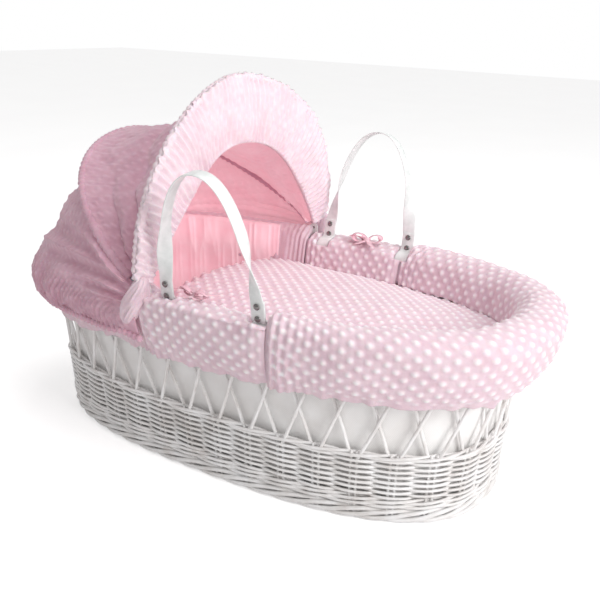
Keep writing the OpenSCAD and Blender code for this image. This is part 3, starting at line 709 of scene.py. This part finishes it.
def puffAt(t):
    side, foot, head = trimShape["sidePuff"], trimShape["footPuff"], trimShape["headPuff"]
    return side + (np.where(np.cos(t) > 0, foot, head) - side) * np.abs(np.cos(t)) ** 4


def trimProfile(top, shoulder, brow, steps):
    # rows of (share of the puff, offset, height) round the trim's section, outside first
    hem, inner, wrap = trimShape["hem"], trimShape["inner"], trimShape["wrap"]
    outside = np.array([
        [0.55, 0, hem], [0.90, 0, hem + 0.030], [1.00, 0, rimHeight - 0.018],
        [0.88, 0, rimHeight - shoulder / 2 + 0.002], [brow, 0, top - 0.004 - shoulder],
        [0, -0.008, top], [0, -0.024, top - 0.005], [0, -0.036, rimHeight - 0.002],
        [0, -0.037, inner + 0.006], [0, -0.030, inner]])
    inside = np.array([
        [0, -0.0235, inner + 0.001], [0, -0.0235, rimHeight - 0.003], [0, -0.0165, rimHeight + wrap],
        [0, -0.0055, rimHeight + wrap], [0, wrap, rimHeight - 0.005], [0, wrap, rimHeight - 0.026],
        [0, wrap, hem + 0.001]])
    return np.vstack([throughPoints(outside, steps, np.array([0.028, 1, 1])), inside])


def makeRoomForStraps(points):
    # lowers the padding to just above the rim wherever a strap passes between its two limits
    y, z = np.abs(points[..., 1]) - handles["turnY"], points[..., 2] - rimCentreZ
    reach = np.hypot(y, z)
    outLimit, inLimit, room = handles["outLimit"], handles["inLimit"], handles["slotRoom"]
    outSide = y * math.cos(outLimit) - z * math.sin(outLimit) < handles["slotClear"]
    inSide = y * math.cos(inLimit) + z * math.sin(inLimit) > -0.0005
    for x in handleX:
        near = smooth((handles["slotHalf"] - np.abs(points[..., 0] - x)) / 0.0022)
        sink = near * (outSide & inSide & (reach > room))
        factor = 1 + (room / np.maximum(reach, 1e-6) - 1) * sink
        points[..., 1] = np.sign(points[..., 1]) * (handles["turnY"] + y * factor)
        points[..., 2] = rimCentreZ + z * factor
        y, z = np.abs(points[..., 1]) - handles["turnY"], points[..., 2] - rimCentreZ
        reach = np.hypot(y, z)
    return points


def trimPart(start, end, top, seed, gathers, shoulder=0.0, brow=0.35, straps=False, pleated=False,
             slim=1.0):
    # The section carried round the rim between two seams. On it lie the dots, the soft lumps
    # of the padding, the gathers that die away from each seam, the uneven edge of the drawn
    # hem, and, on the pleated piece, the folds of the inner face.
    steps, rimGirth = 96, girth * 1.06
    profile = trimProfile(top, shoulder, brow, steps)
    sStart, sEnd = shareAt(start), shareAt(end)
    s = np.linspace(sStart, sEnd, int((sEnd - sStart) * rimGirth / trimShape["step"]))[:, None]
    t = evenAngle(s)
    r = profile[None, :, 0] * puffAt(t) * slim + profile[None, :, 1]
    points = outline(t, profile[None, :, 2], r)
    outer = np.arange(points.shape[1]) < steps
    u = (s - sStart) * rimGirth + 0 * r
    v = runAlong(points, 1)
    fromStart, fromEnd = u, u[-1:] - u
    edge = smooth(fromStart / 0.014) * smooth(fromEnd / 0.014)
    hemPart = np.clip(1 - v / 0.022, 0, 1)
    ridge = int(steps * 0.69)
    innerPart = smooth((v - v[:, ridge:ridge + 1]) / 0.012)
    dots = dimples(u + seed * 0.004, v) * edge * smooth((v - 0.008) / 0.008)
    lumps = (softNoise(u / 0.055, v / 0.05 + seed, 40 + seed) - 0.5) * 0.0055
    scallop = hemPart * 0.0036 * (softNoise(u / 0.013, v * 0, 60 + seed) - 0.5) * 2
    folds = 0
    for away, strength in ((fromStart, gathers[0]), (fromEnd, gathers[1])):
        wave = np.cos(2 * pi * away / 0.0115 + 4 * softNoise(v / 0.05, away / 0.05, 70 + seed))
        folds = folds + strength * 0.0034 * np.exp(-away / 0.030) * wave * smooth(away / 0.004)
    pinch = -(1 - edge) * 0.0028
    pleats = 0
    if pleated:
        pleats = innerPart * 0.0035 * creases(u / 0.014, v / 0.09, 80 + seed)
        dots = dots * (1 - innerPart) * 0.3
    grow = (dots + lumps + scallop + folds + pinch + pleats) * outer
    centre = outline(t, rimCentreZ, -0.011)
    moved = pushOut(points, grow, centre)
    moved[..., 2] += hemPart * 0.0030 * (softNoise(u / 0.02, v * 0, 65 + seed) - 0.5) * 2 * outer
    if straps:
        moved = makeRoomForStraps(moved)
    tone = np.clip(dots / dot["height"], 0, 1) * outer
    return gridPart(moved, closeV=True, uv=uvWrapped(u, v), tone=tone, caps=True)


def uvWrapped(u, v):
    # the same lengths with one more column, where the section comes back to its start
    extra = v[:, -1:] + 0.03
    return np.stack([np.concatenate([u, u[:, -1:]], 1), np.concatenate([v, extra], 1)], -1)


seamGap = 0.0008
frontSeam = angleAtX(handleX[1] + handles["width"] / 2 + 0.0048, rimHeight)
flapBack = angleAtX(pivot[0] + seamGap, rimHeight)
headSeam = angleAtX(pivot[0] - seamGap, rimHeight)


def mirrored(part):
    part["points"] = part["points"] * np.array([1, -1, 1])
    part["quads"] = part["quads"][:, ::-1]
    part["corners"] = part["corners"][:, ::-1]
    part["ends"] = [e[::-1] for e in part["ends"]]
    return part


def trimPiece(name, part, node):
    piece = makePiece(name, [part], [plush], "basket", [node])


trimPiece("trimFoot", trimPart(-frontSeam, frontSeam, trimShape["top"], 2, (1.0, 1.0), straps=True),
          "trim_foot")
trimPiece("trimHead", trimPart(headSeam, 2 * pi - headSeam, trimShape["top"], 5, (0.8, 0.8),
                               shoulder=0.008, pleated=True, slim=0.62), "trim_head")
flapEnds = (frontSeam + 0.0012, flapBack, trimShape["flapTop"])
trimPiece("flapFar", trimPart(*flapEnds, 7, (0.25, 0.8), brow=0.8, straps=True), "trim_flap_far")
trimPiece("flapNear", mirrored(trimPart(*flapEnds, 9, (0.25, 0.8), brow=0.8, straps=True)),
          "trim_flap_near")
print("trim ready")


def bumperPanel():
    # the pleated lining round the head, from the trim's top seam down to the bed: upright
    # folds, drawn closer at the top
    start = angleAtX(bedding["headEdge"] - 0.002, 0.15)
    s = np.linspace(shareAt(start), 1 - shareAt(start), 620)[:, None]
    z = np.linspace(0.0555, rimHeight + 0.0195, 60)[None]
    front = s * girth
    ends = smooth((s - s[0]) * girth / 0.05) * smooth((s[-1] - s) * girth / 0.05)
    top = smooth((z - 0.2) / 0.07)
    fold = (creases(front / 0.024, z / 0.10, 91) * 0.0065
            + creases(front / 0.010, z / 0.07, 92) * 0.0028)
    face = outline(evenAngle(s), z, -0.0265 - 0.0155 * top - fold * (0.35 + 0.65 * ends) - 0.0045 * ends)
    back = outline(evenAngle(s), z[:, ::-1], -0.0205 - 0.0145 * top[:, ::-1])
    points = np.concatenate([face, back], 1)
    uv = uvWrapped(front + 0 * points[..., 0], runAlong(points, 1))
    return gridPart(points, closeV=True, uv=uv, caps=True)


bumper = makePiece("headBumper", [bumperPanel()], [liningPink], "basket", ["head_bumper"])


# ---- handles ----

def strapPath():
    # the strap's middle line (u along the basket, v outwards, w up): down the inner end and
    # round the rim, up the outer side, and over the arch |u/half|^2.2 + |w/rise|^2.2 = 1
    ply, off = handles["thick"] / 2, handles["offset"]
    half, rise, join, ringTop = handles["span"] / 2, handles["rise"], 0.0492, 0.019
    loop = 0.0172 - ply + 0.0003
    inner = np.stack([np.full(14, half), np.full(14, off - ply), np.linspace(join, ringTop, 14)], -1)
    turn = np.linspace(math.radians(104), math.radians(-284), 60)
    ring = np.stack([np.full(60, half), loop * np.cos(turn), loop * np.sin(turn)], -1)
    first = math.asin((join / rise) ** 1.1)
    a = np.linspace(first, pi - first, 150)
    arch = np.stack([half * signedPower(np.cos(a), 2 / 2.2), np.full(150, off),
                     rise * np.sin(a) ** (2 / 2.2)], -1)
    up = np.stack([np.full(16, half), off + ply * np.linspace(1, 0, 16),
                   np.linspace(ringTop, join - 0.002, 16)], -1)
    foot = np.vstack([inner, ring, up])
    return np.vstack([foot, arch, (foot * np.array([-1, 1, 1]))[::-1]])


def placeHandle(points, side):
    # from the upright handle to the basket: leaned outwards, then set on its turning line
    lean = handles["lean"]
    y = points[..., 1] * math.cos(lean) + points[..., 2] * math.sin(lean)
    z = points[..., 2] * math.cos(lean) - points[..., 1] * math.sin(lean)
    return np.stack([points[..., 0] + handles["centre"], side * (handles["turnY"] + y), z + rimCentreZ], -1)


def strapSurface(side):
    # a flat band with rounded edges carried along the path; it lies along the basket at the
    # feet and turns a quarter to face the hand at the top
    path = strapPath()
    run = lineRun(path)
    path = evenly(path, run, 420)
    path[2:-2] = (path[:-4] + path[1:-3] + path[2:-2] + path[3:-1] + path[4:]) / 5
    along = unit(np.gradient(path, axis=0))
    k = (smooth((path[:, 2] - 0.0392) / 0.100) * (path[:, 2] >= 0.045))[:, None] * pi / 2
    lengthwise = np.array([1.0, 0, 0]) - along * along[:, :1]
    sideways = np.array([0, 1.0, 0]) - along * along[:, 1:2]
    base = np.where(np.abs(along[:, :1]) > 0.999, sideways, lengthwise)
    flat = unit(unit(base) * np.cos(k) + sideways * np.sin(k) * np.sign(path[:, :1] + 1e-9))
    thick = np.cross(along, flat)
    turn = np.linspace(0, 2 * pi, 25)[:-1]
    w, h = handles["width"] / 2, handles["thick"] / 2 - 0.0001
    across = w * signedPower(np.cos(turn), 0.35)
    up = h * signedPower(np.sin(turn), 0.7)
    points = path[:, None] + flat[:, None] * across[:, None] + thick[:, None] * up[:, None]
    uv = (np.linspace(0, run[-1], 420), np.concatenate([across, across[:1]]))
    return gridPart(placeHandle(points, side), closeV=True, uv=uv, caps=True)


def capSurface(centre, out, side):
    # a pressed rivet cap: a low dome with a small rolled rim, turned about its own axis
    radius = 0.0046
    prof = np.array([[1.0, 0.0], [1.04, 0.12], [1.0, 0.22], [0.93, 0.26], [0.85, 0.33], [0.7, 0.45],
                     [0.5, 0.56], [0.28, 0.63], [0.08, 0.66]]) * radius
    turn = np.linspace(0, 2 * pi, 25)[:-1][:, None]
    points = np.stack([centre[0] + prof[None, :, 0] * np.cos(turn),
                       centre[1] + out * prof[None, :, 1] + 0 * turn,
                       centre[2] + prof[None, :, 0] * np.sin(turn)], -1)
    top = np.broadcast_to(np.array([centre[0], centre[1] + out * 0.662 * radius, centre[2]]), (24, 1, 3))
    low = np.broadcast_to(np.array(centre, float), (24, 1, 3))
    return gridPart(placeHandle(np.concatenate([low, points, top], 1), side), closeU=True)


def rivetParts(side):
    parts = []
    for x in (-handles["span"] / 2, handles["span"] / 2):
        for w in (0.0232, 0.0412):
            for out in (-1, 1):
                parts.append(capSurface((x, handles["offset"] + out * 0.00245, w), out, side))
    return parts


for label, side in (("near", -1), ("far", 1)):
    makePiece(label + "Strap", [strapSurface(side)], [leather], "handle_" + label,
              ["handle_" + label + "_strap"])
    closeCentre(makePiece(label + "Rivets", rivetParts(side), [nickel], "handle_" + label,
                          ["handle_" + label + "_rivets"]))
print("handles ready")


# ---- hood ----

hood = dict(
    frontFoot=0.2432, frontLength=0.276, frontPower=2.0, frontBulge=0.020, frontBow=0.018, frontAngle=92.0,
    rearFoot=0.2362, rearLength=0.293, rearPower=2.1, rearBulge=0.002, rearBow=-0.009, rearAngle=143.0,
    mouthFoot=0.224, mouthLength=0.178, mouthPower=1.95, mouthBulge=-0.046, mouthBow=0.009, mouthAngle=91.0,
    hemZ=rimHeight - 0.054, frontSag=0.030, flankSag=0.026, backSag=0.024, swell=0.010, step=0.0026,
    cloth=0.0022, overWire=0.0052,
)


def archLine(name, a, grow=0.0):
    # a hoop: half-width and height follow powers of cos and sin of a, its flanks swell by
    # |sin 2a|, and its plane is tilted by an angle about the pivot line
    foot, length, power, bulge, bow, angle = (
        hood[name + key] for key in ("Foot", "Length", "Power", "Bulge", "Bow", "Angle"))
    side = np.abs(np.sin(2 * a))
    y = (foot + grow + bulge * side) * signedPower(np.cos(a), 2 / power)
    h = (length + grow) * np.abs(np.sin(a)) ** (2 / power)
    c, s = math.cos(math.radians(angle)), math.sin(math.radians(angle))
    return pivot + np.stack([h * c + bow * side * s, y, h * s - bow * side * c], -1)


def roundHead(a, z, r):
    # the outline's point on the head end's half, as a goes from the far pivot to the near one
    start = angleAtX(pivot[0], rimHeight)
    t = start + (2 * pi - 2 * start) * (a / pi)
    return outline(t, z, puffAt(t) + r)


def metres(points):
    # flat lengths over a panel, with the middle of the hood as its upright line
    run = runAlong(points, 0)
    return run - run[len(run) // 2][None], runAlong(points, 1)


def panelPart(points, u, v, dots, away, dotHighlight):
    # dotHighlight sets how strongly the dots' painted highlight shows on this panel
    return gridPart(points, uv=np.stack([u, v], -1), away=away, tone=dots / dot["height"] * dotHighlight)


def frontPanel():
    # cloth from the rear hoop to the front one: it sags between them, and folds that start at
    # the pivots fan out and die away towards the top
    a = np.radians(np.linspace(2, 178, int(pi * 0.29 / hood["step"])))[:, None]
    k = np.linspace(0, 1, 104)[None]
    q = k[..., None]
    rear, front = archLine("rear", a + 0 * k, hood["overWire"]), archLine("front", a + 0 * k, 0.0050)
    points = rear * (1 - q) + front * q
    away = pivot + np.array([0, 0, 0.030])
    pull = unit(points - away)
    low = 1 - np.sin(a)
    edge = smooth(k / 0.08) * smooth((1 - k) / 0.05)
    flank = np.exp(-((np.abs(np.cos(a)) - 0.58) / 0.26) ** 2)
    sag = hood["frontSag"] * np.sin(pi * k) * np.sin(a) + hood["flankSag"] * flank * np.sin(pi * k) ** 1.3
    fan = creases(k * 5 + 1.5 * softNoise(a * 3, k * 2, 101), a * 1.2, 102) * (0.010 + 0.018 * low)
    wide = (softNoise(k * 3 + 4, a * 3.1, 103) - 0.5) * 0.026 * (0.6 + 0.4 * low)
    atHoops = np.exp(-k / 0.16) + np.exp(-(1 - k) / 0.10)
    gather = creases(a * 34, k * 1.5, 104) * 0.0036 * atHoops
    points = points - pull * (sag + (fan - wide) * edge)[..., None]
    u, v = metres(points)
    dots = dimples(u, v) * smooth(np.minimum(k, 1 - k) / 0.04)
    points = pushOut(points, dots * 0.55 + gather * edge, away)
    return panelPart(points, u, v, dots, away, 0.16), k + 0 * a


def backPanel():
    # cloth from the rear hoop down to the drawn hem, a curve through a point outside the rim;
    # it hangs in below the hoop, and fine upright gathers grow towards the hem
    a = np.radians(np.linspace(0, 180, int(pi * 0.33 / hood["step"])))[:, None]
    k = np.linspace(0, 1, 132)[None]
    q = k[..., None]
    brow = roundHead(a + 0 * k, rimHeight - 0.001, hood["swell"] * np.sin(a) + 0.012)
    hem = roundHead(a + 0 * k, hood["hemZ"] + 0.002, 0.0035)
    rear = archLine("rear", a + 0 * k, hood["overWire"])
    points = rear * (1 - q) ** 2 + brow * 2 * q * (1 - q) + hem * q * q
    pull = unit(points - pivot - np.array([0, 0, 0.030]))
    hang = hood["backSag"] * np.sin(pi * np.minimum(1, 1.15 * np.sqrt(k))) * np.sin(a) ** 0.7
    points = points - pull * hang[..., None]
    away = pivot + np.array([-0.10, 0, -0.02])
    low = 1 - np.sin(a)
    edge = smooth(k / 0.06) * smooth(np.sin(a) / 0.10)
    u, v = metres(points)
    fine = np.cos(2 * pi * u / 0.0105 + 5 * softNoise(u / 0.05, v / 0.08, 111)) * 0.0030
    coarse = (softNoise(u / 0.036, v / 0.16, 112) - 0.6) * 0.011 * smooth((k - 0.1) / 0.5)
    slant = (creases(k * 6 - 3.0 * np.sin(a) + 7, a * 1.6, 113) - 0.6) * (0.010 + 0.008 * low)
    slant = slant + (creases(k * 13 - 5.0 * np.sin(a) + 9, a * 3, 115) - 0.5) * 0.0045
    slant = slant * (1 - 0.9 * smooth((k - 0.35) / 0.3))
    ridge = creases(a * 24, k * 2, 114) * 0.0025 * np.exp(-k / 0.12)
    dots = dimples(u, v) * smooth(k / 0.05) * smooth((1 - k) / 0.03)
    outward = 0.004 * low ** 4 + 0.002
    grow = fine * smooth((k - 0.45) / 0.4) + coarse + slant + ridge + outward
    points = pushOut(points, grow * edge + dots * 0.5, away)
    return panelPart(points, u, v, dots, away, 0.14), k + 0 * a


def blendByTurn(piece, first, second, share):
    # Fabric between two arms of a fold turns with a share of the angle between them: that
    # share is 0 at the first arm, 1 at the second, and even round the pivot in between.
    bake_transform(piece, first, second, start=tuple(pivot), end=tuple(pivot + np.array([0.3, 0, 0])))
    weights = piece.data.attributes["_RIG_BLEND"].data
    weights.foreach_set("value", np.clip(share, 0, 1).astype(np.float32).ravel())


def hoodPiece(name, panel, node, first, second, **sheet):
    # a panel of plush outside and lining inside, between two arms of the fold
    part, share = panel
    piece = makePiece(name, [part], [shadedPlush, liningPink], None, [node])
    blendByTurn(piece, first, second, share)
    thicken(piece, hood["cloth"], innerSlot=1)


hoodPiece("hoodFrontPanel", frontPanel(), "hood_front_panel", "hood_rear", "hood_front",
          flat=(0.90, 0.25), rests_on=["hood_rear_hoop", "hood_front_hoop"], area=0.205)
hoodPiece("hoodBackPanel", backPanel(), "hood_back_panel", "hood_rear", "basket",
          flat=(1.10, 0.24), rests_on=["hood_rear_hoop", "trimHead"], area=0.235)


def facingPart():
    # The gathered facing, a flat hollow ring from the front hoop in to the mouth. Its section
    # is a loop: out over the front face and back along the rear one. The gathers are radial.
    a = np.radians(np.linspace(3, 177, 620))[:, None]
    face = np.linspace(0, 1, 44)[None]
    q, back = face[..., None], face[:, ::-1]
    angle, dotHeight = math.radians(hood["frontAngle"]), 0.0009
    normal = np.array([math.sin(angle), 0, -math.cos(angle)])
    outer, inner = archLine("front", a + 0 * face, 0.0075), archLine("mouth", a + 0 * face)
    flat = outer * (1 - q) + inner * q
    u = lineRun(outer[:, 0])[:, None]
    fold = np.cos(2 * pi * u / 0.0125 + 8 * softNoise(u / 0.045, face * 1.6, 121))
    fold = (fold * 0.0030 * (0.45 + 0.55 * np.abs(2 * face - 1))
            + (softNoise(u / 0.026, face * 2.5, 122) - 0.5) * 0.009)
    ruffle = np.cos(2 * pi * u / 0.017 + 7 * softNoise(u / 0.035, face * 0, 123))
    frill = np.exp(-face / 0.06) * 0.0024 * ruffle
    dots = dimples(u + 0 * face, face * 0.09 + 0 * u, height=dotHeight)
    dots = dots * smooth((face - 0.1) / 0.1) * smooth((1 - face) / 0.1)
    puffed = 0.0045 + 0.0075 * np.sin(pi * face ** 0.8) + fold * smooth((1 - face) / 0.06) + dots
    sunk = 0.0042 - 0.006 * smooth((back - 0.1) / 0.2)
    front = flat + normal * puffed[..., None] + unit(outer - inner) * frill[..., None]
    points = np.concatenate([front, flat[:, ::-1] + normal * sunk[..., None]], 1)
    # the dots' painted highlight, kept faint on the front face and none on the back
    tone = np.concatenate([dots / dotHeight * 0.2, 0 * dots], 1)
    uv = uvWrapped(u + 0 * points[..., 0], runAlong(points, 1))
    return gridPart(points, closeV=True, uv=uv, tone=tone, caps=True)


facing = makePiece("hoodFacing", [facingPart()], [litPlush], "hood_front", ["hood_facing"])


def hoopCover(name, grow, radius, seed):
    # a padded channel that wraps a hoop's wire, its girth ruffled by the gathers of the cloth
    path = archLine(name, np.radians(np.linspace(4, 176, 300)), grow)
    run = lineRun(path)
    thick = radius * (1 + 0.16 * np.cos(2 * pi * run / 0.0105 + 6 * softNoise(run / 0.03, 0, seed)))
    return rodPart(path, thick, sides=16, up=(0.9, 0.1, 0.42))


makePiece("frontChannel", [hoopCover("front", 0.0008, 0.0066, 131)], [litPlush], "hood_front", ())
makePiece("rearChannel", [hoopCover("rear", 0.0006, 0.0060, 132)], [shadedPlush], "hood_rear", ())


def hemPart():
    # the drawn hem: a soft tube round the trim, pulled into small even puckers
    a = np.linspace(-0.012, pi + 0.012, 760)
    path = roundHead(a, hood["hemZ"], 0.0055)
    run = lineRun(path)
    path[:, 2] += (softNoise(run / 0.03, 0, 141) - 0.5) * 0.004
    thick = 0.0044 * (1 + 0.24 * np.cos(2 * pi * run / 0.0100 + 5 * softNoise(run / 0.03, 0, 142)))
    return rodPart(path, thick, sides=14)


makePiece("hoodHem", [hemPart()], [shadedPlush], "basket", ["hood_hem"])


def tuckPart(side):
    # the knot of cloth that is drawn in over the hood's pivot: an ovoid with deep pleats that
    # fan upwards and back
    u = np.linspace(0, 2 * pi, 161)[:-1][:, None]
    v = np.linspace(0.03, pi - 0.03, 72)[None]
    pleat = 0.82 + 0.34 * creases(u * 2.4 + 1.6 * np.cos(v), v * 0.9, 150)
    x = 0.0165 * np.sin(v) * np.cos(u) * pleat
    y = 0.0165 * np.sin(v) * np.sin(u) * pleat
    z = 0.038 * np.cos(v) + 0 * u
    centre = np.array([pivot[0] - 0.006, side * 0.2425, pivot[2] - 0.016])
    points = np.stack([x + 0.42 * z, side * y, z], -1) + centre
    return gridPart(points, closeU=True, uv=(np.linspace(0, 0.13, 161), np.linspace(0, 0.08, 72)))


closeCentre(makePiece("hoodTucks", [tuckPart(-1), tuckPart(1)], [plush], "basket", ()))
print("hood ready")


# ---- ribbons ----

ribbon = dict(strip=0.010, band=0.012, thick=0.0006, steps=60, turn=0.2)


def ribbonPart(path, width, twist=0.0):
    # a flat band along a smooth path, its width lying across the path and as level as it can
    path = throughPoints(path, ribbon["steps"])
    along = unit(np.gradient(path, axis=0))
    flat = unit(np.cross(along, np.array([0, 0, 1.0])) + 1e-6)
    lift = np.cross(flat, along)
    turn = np.linspace(0, twist, ribbon["steps"])[:, None]
    wide, tall = flat * np.cos(turn) + lift * np.sin(turn), lift * np.cos(turn) - flat * np.sin(turn)
    corners = [(-1, -1), (0, -1), (1, -1), (1, 1), (0, 1), (-1, 1)]
    points = np.stack([path + (wide * a * width + tall * b * ribbon["thick"]) / 2 for a, b in corners], 1)
    uv = (np.linspace(0, 0.1, ribbon["steps"]), np.array([0, 0.5, 1, 1, 0.5, 0, 0]) * width)
    return gridPart(points, closeV=True, uv=uv, caps=True)


def bowParts(x, y, z, side):
    # two loops, two tails, the band under them and a knot
    c, s = math.cos(ribbon["turn"]), math.sin(ribbon["turn"])

    def at(p):
        return np.stack([x + p[:, 0] * c - p[:, 1] * s, y + side * (p[:, 0] * s + p[:, 1] * c),
                         z + p[:, 2]], -1)
    loop = np.array([[0, 0, 0.004], [0.010, 0.004, 0.012], [0.021, 0.003, 0.013], [0.024, -0.001, 0.007],
                     [0.018, -0.003, 0.002], [0.008, -0.001, 0.002], [0, 0, 0.003]])
    tail = np.array([[0, 0, 0.004], [0.006, -0.008, 0.003], [0.011, -0.019, 0.002], [0.019, -0.030, 0.0012]])
    band = np.array([[-0.034, 0.005, 0.007], [-0.022, 0.004, 0.008], [-0.010, 0.001, 0.006], [0, 0, 0.004]])
    knot = np.array([[0, -0.004, 0.002], [0, -0.002, 0.007], [0, 0.003, 0.007], [0, 0.005, 0.003]])
    other, shorter = np.array([-1, 1, 1]), np.array([-0.8, 0.9, 1])
    strips = [(loop, 0), (loop * other, 0), (tail, 0.3), (tail * shorter, -0.3)]
    return ([ribbonPart(at(line), ribbon["strip"], twist) for line, twist in strips]
            + [ribbonPart(at(band), ribbon["band"], 1.1), ribbonPart(at(knot), ribbon["strip"])])


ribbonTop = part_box("ribbon_bow_far")[0].z + 0.001
for label, side in (("near", -1), ("far", 1)):
    low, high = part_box("ribbon_bow_" + label)
    parts = bowParts((low.x + high.x) / 2, (low.y + high.y) / 2, ribbonTop, side)
    bow = makePiece(label + "Bow", parts, [ribbonPink], "basket", ["ribbon_bow_" + label])
print("ribbons ready")


# ---- CAD nodes that stay as they are ----

for node, material in (
        ("base_weave", floorWeave), ("base_sticks", willow), ("upper_band", willow),
        ("rim_border", willow), ("hood_bracket_near", coated), ("hood_bracket_far", coated),
        ("bracket_screws", nickel), ("hood_pin_near", nickel), ("hood_pin_far", nickel),
        ("hood_rear_hoop", wire), ("hood_front_hoop", wire)):
    mesh = frame["nodes"][node].data
    mesh.materials.clear()
    mesh.materials.append(material)


# ---- floor, light and camera ----
# The world is dim as a light and white to the camera.

def paleFloor():
    # a matt white floor whose glow is seen by the camera only, and lights nothing
    m, shader, place = newMaterial("pale studio floor")
    colour = colourRamp(m, noise(m, place["Object"], 3.0), [(0.3, "#f4f3f3"), (0.7, "#f7f6f6")])
    seen = addNode(m, "ShaderNodeLightPath").outputs["Is Camera Ray"]
    m.node_tree.links.new(combine(m, "MULTIPLY", seen, 0.46), shader.inputs["Emission Strength"])
    setShader(shader, colour, Roughness=0.9, Specular_IOR_Level=0.1, Emission_Color=fromHex("#ffffff"))
    return m


ground = bpy.data.meshes.new("floor")
ground.from_pydata([(-9, -9, 0), (9, -9, 0), (9, 9, 0), (-9, 9, 0)], [], [(0, 1, 2, 3)])
ground.materials.append(paleFloor())
floor = bpy.data.objects.new("floor", ground)
bpy.context.scene.collection.objects.link(floor)
floor.location.z = -0.0005

world = bpy.context.scene.world or bpy.data.worlds.new("studio")
bpy.context.scene.world = world
world.use_nodes = True
sky = world.node_tree
dim, bright = sky.nodes["Background"], sky.nodes.new("ShaderNodeBackground")
seen, mixed = sky.nodes.new("ShaderNodeLightPath"), sky.nodes.new("ShaderNodeMixShader")
for shade, strength in ((dim, 0.50), (bright, 1.0)):
    shade.inputs["Color"].default_value = fromHex("#ffffff")
    shade.inputs["Strength"].default_value = strength
sky.links.new(seen.outputs["Is Camera Ray"], mixed.inputs["Fac"])
sky.links.new(dim.outputs[0], mixed.inputs[1])
sky.links.new(bright.outputs[0], mixed.inputs[2])
sky.links.new(mixed.outputs[0], sky.nodes["World Output"].inputs["Surface"])


def areaLight(name, place, aim, size, power):
    lamp = bpy.data.lights.new(name, "AREA")
    lamp.shape, lamp.size, lamp.energy = "SQUARE", size, power
    holder = bpy.data.objects.new(name, lamp)
    holder.location = place
    holder.rotation_euler = (Vector(aim) - Vector(place)).to_track_quat("-Z", "Y").to_euler()
    bpy.context.scene.collection.objects.link(holder)


areaLight("foot light", (2.5, -0.6, 1.5), (0, 0, 0.3), 1.2, 42)
areaLight("top light", (0.5, 0.4, 2.6), (0, 0, 0.2), 1.8, 20)

cameraShape = dict(
    place=(0.72727, -1.08118, 0.67346), forward=(-0.50245, 0.80160, -0.32401),
    up=(-0.19933, 0.25726, 0.94556), lens=51.32, sensor=36.0,
)
lensData = bpy.data.cameras.new("camera")
lensData.lens, lensData.sensor_width, lensData.clip_end = cameraShape["lens"], cameraShape["sensor"], 60
camera = bpy.data.objects.new("camera", lensData)
forward, upward = Vector(cameraShape["forward"]).normalized(), Vector(cameraShape["up"])
right = forward.cross(upward).normalized()
upward = right.cross(forward)
turned = Matrix((right, upward, -forward)).transposed().to_4x4()
camera.matrix_world = Matrix.Translation(cameraShape["place"]) @ turned
bpy.context.scene.collection.objects.link(camera)
bpy.context.scene.camera = camera
bpy.context.scene.view_settings.view_transform = "Standard"
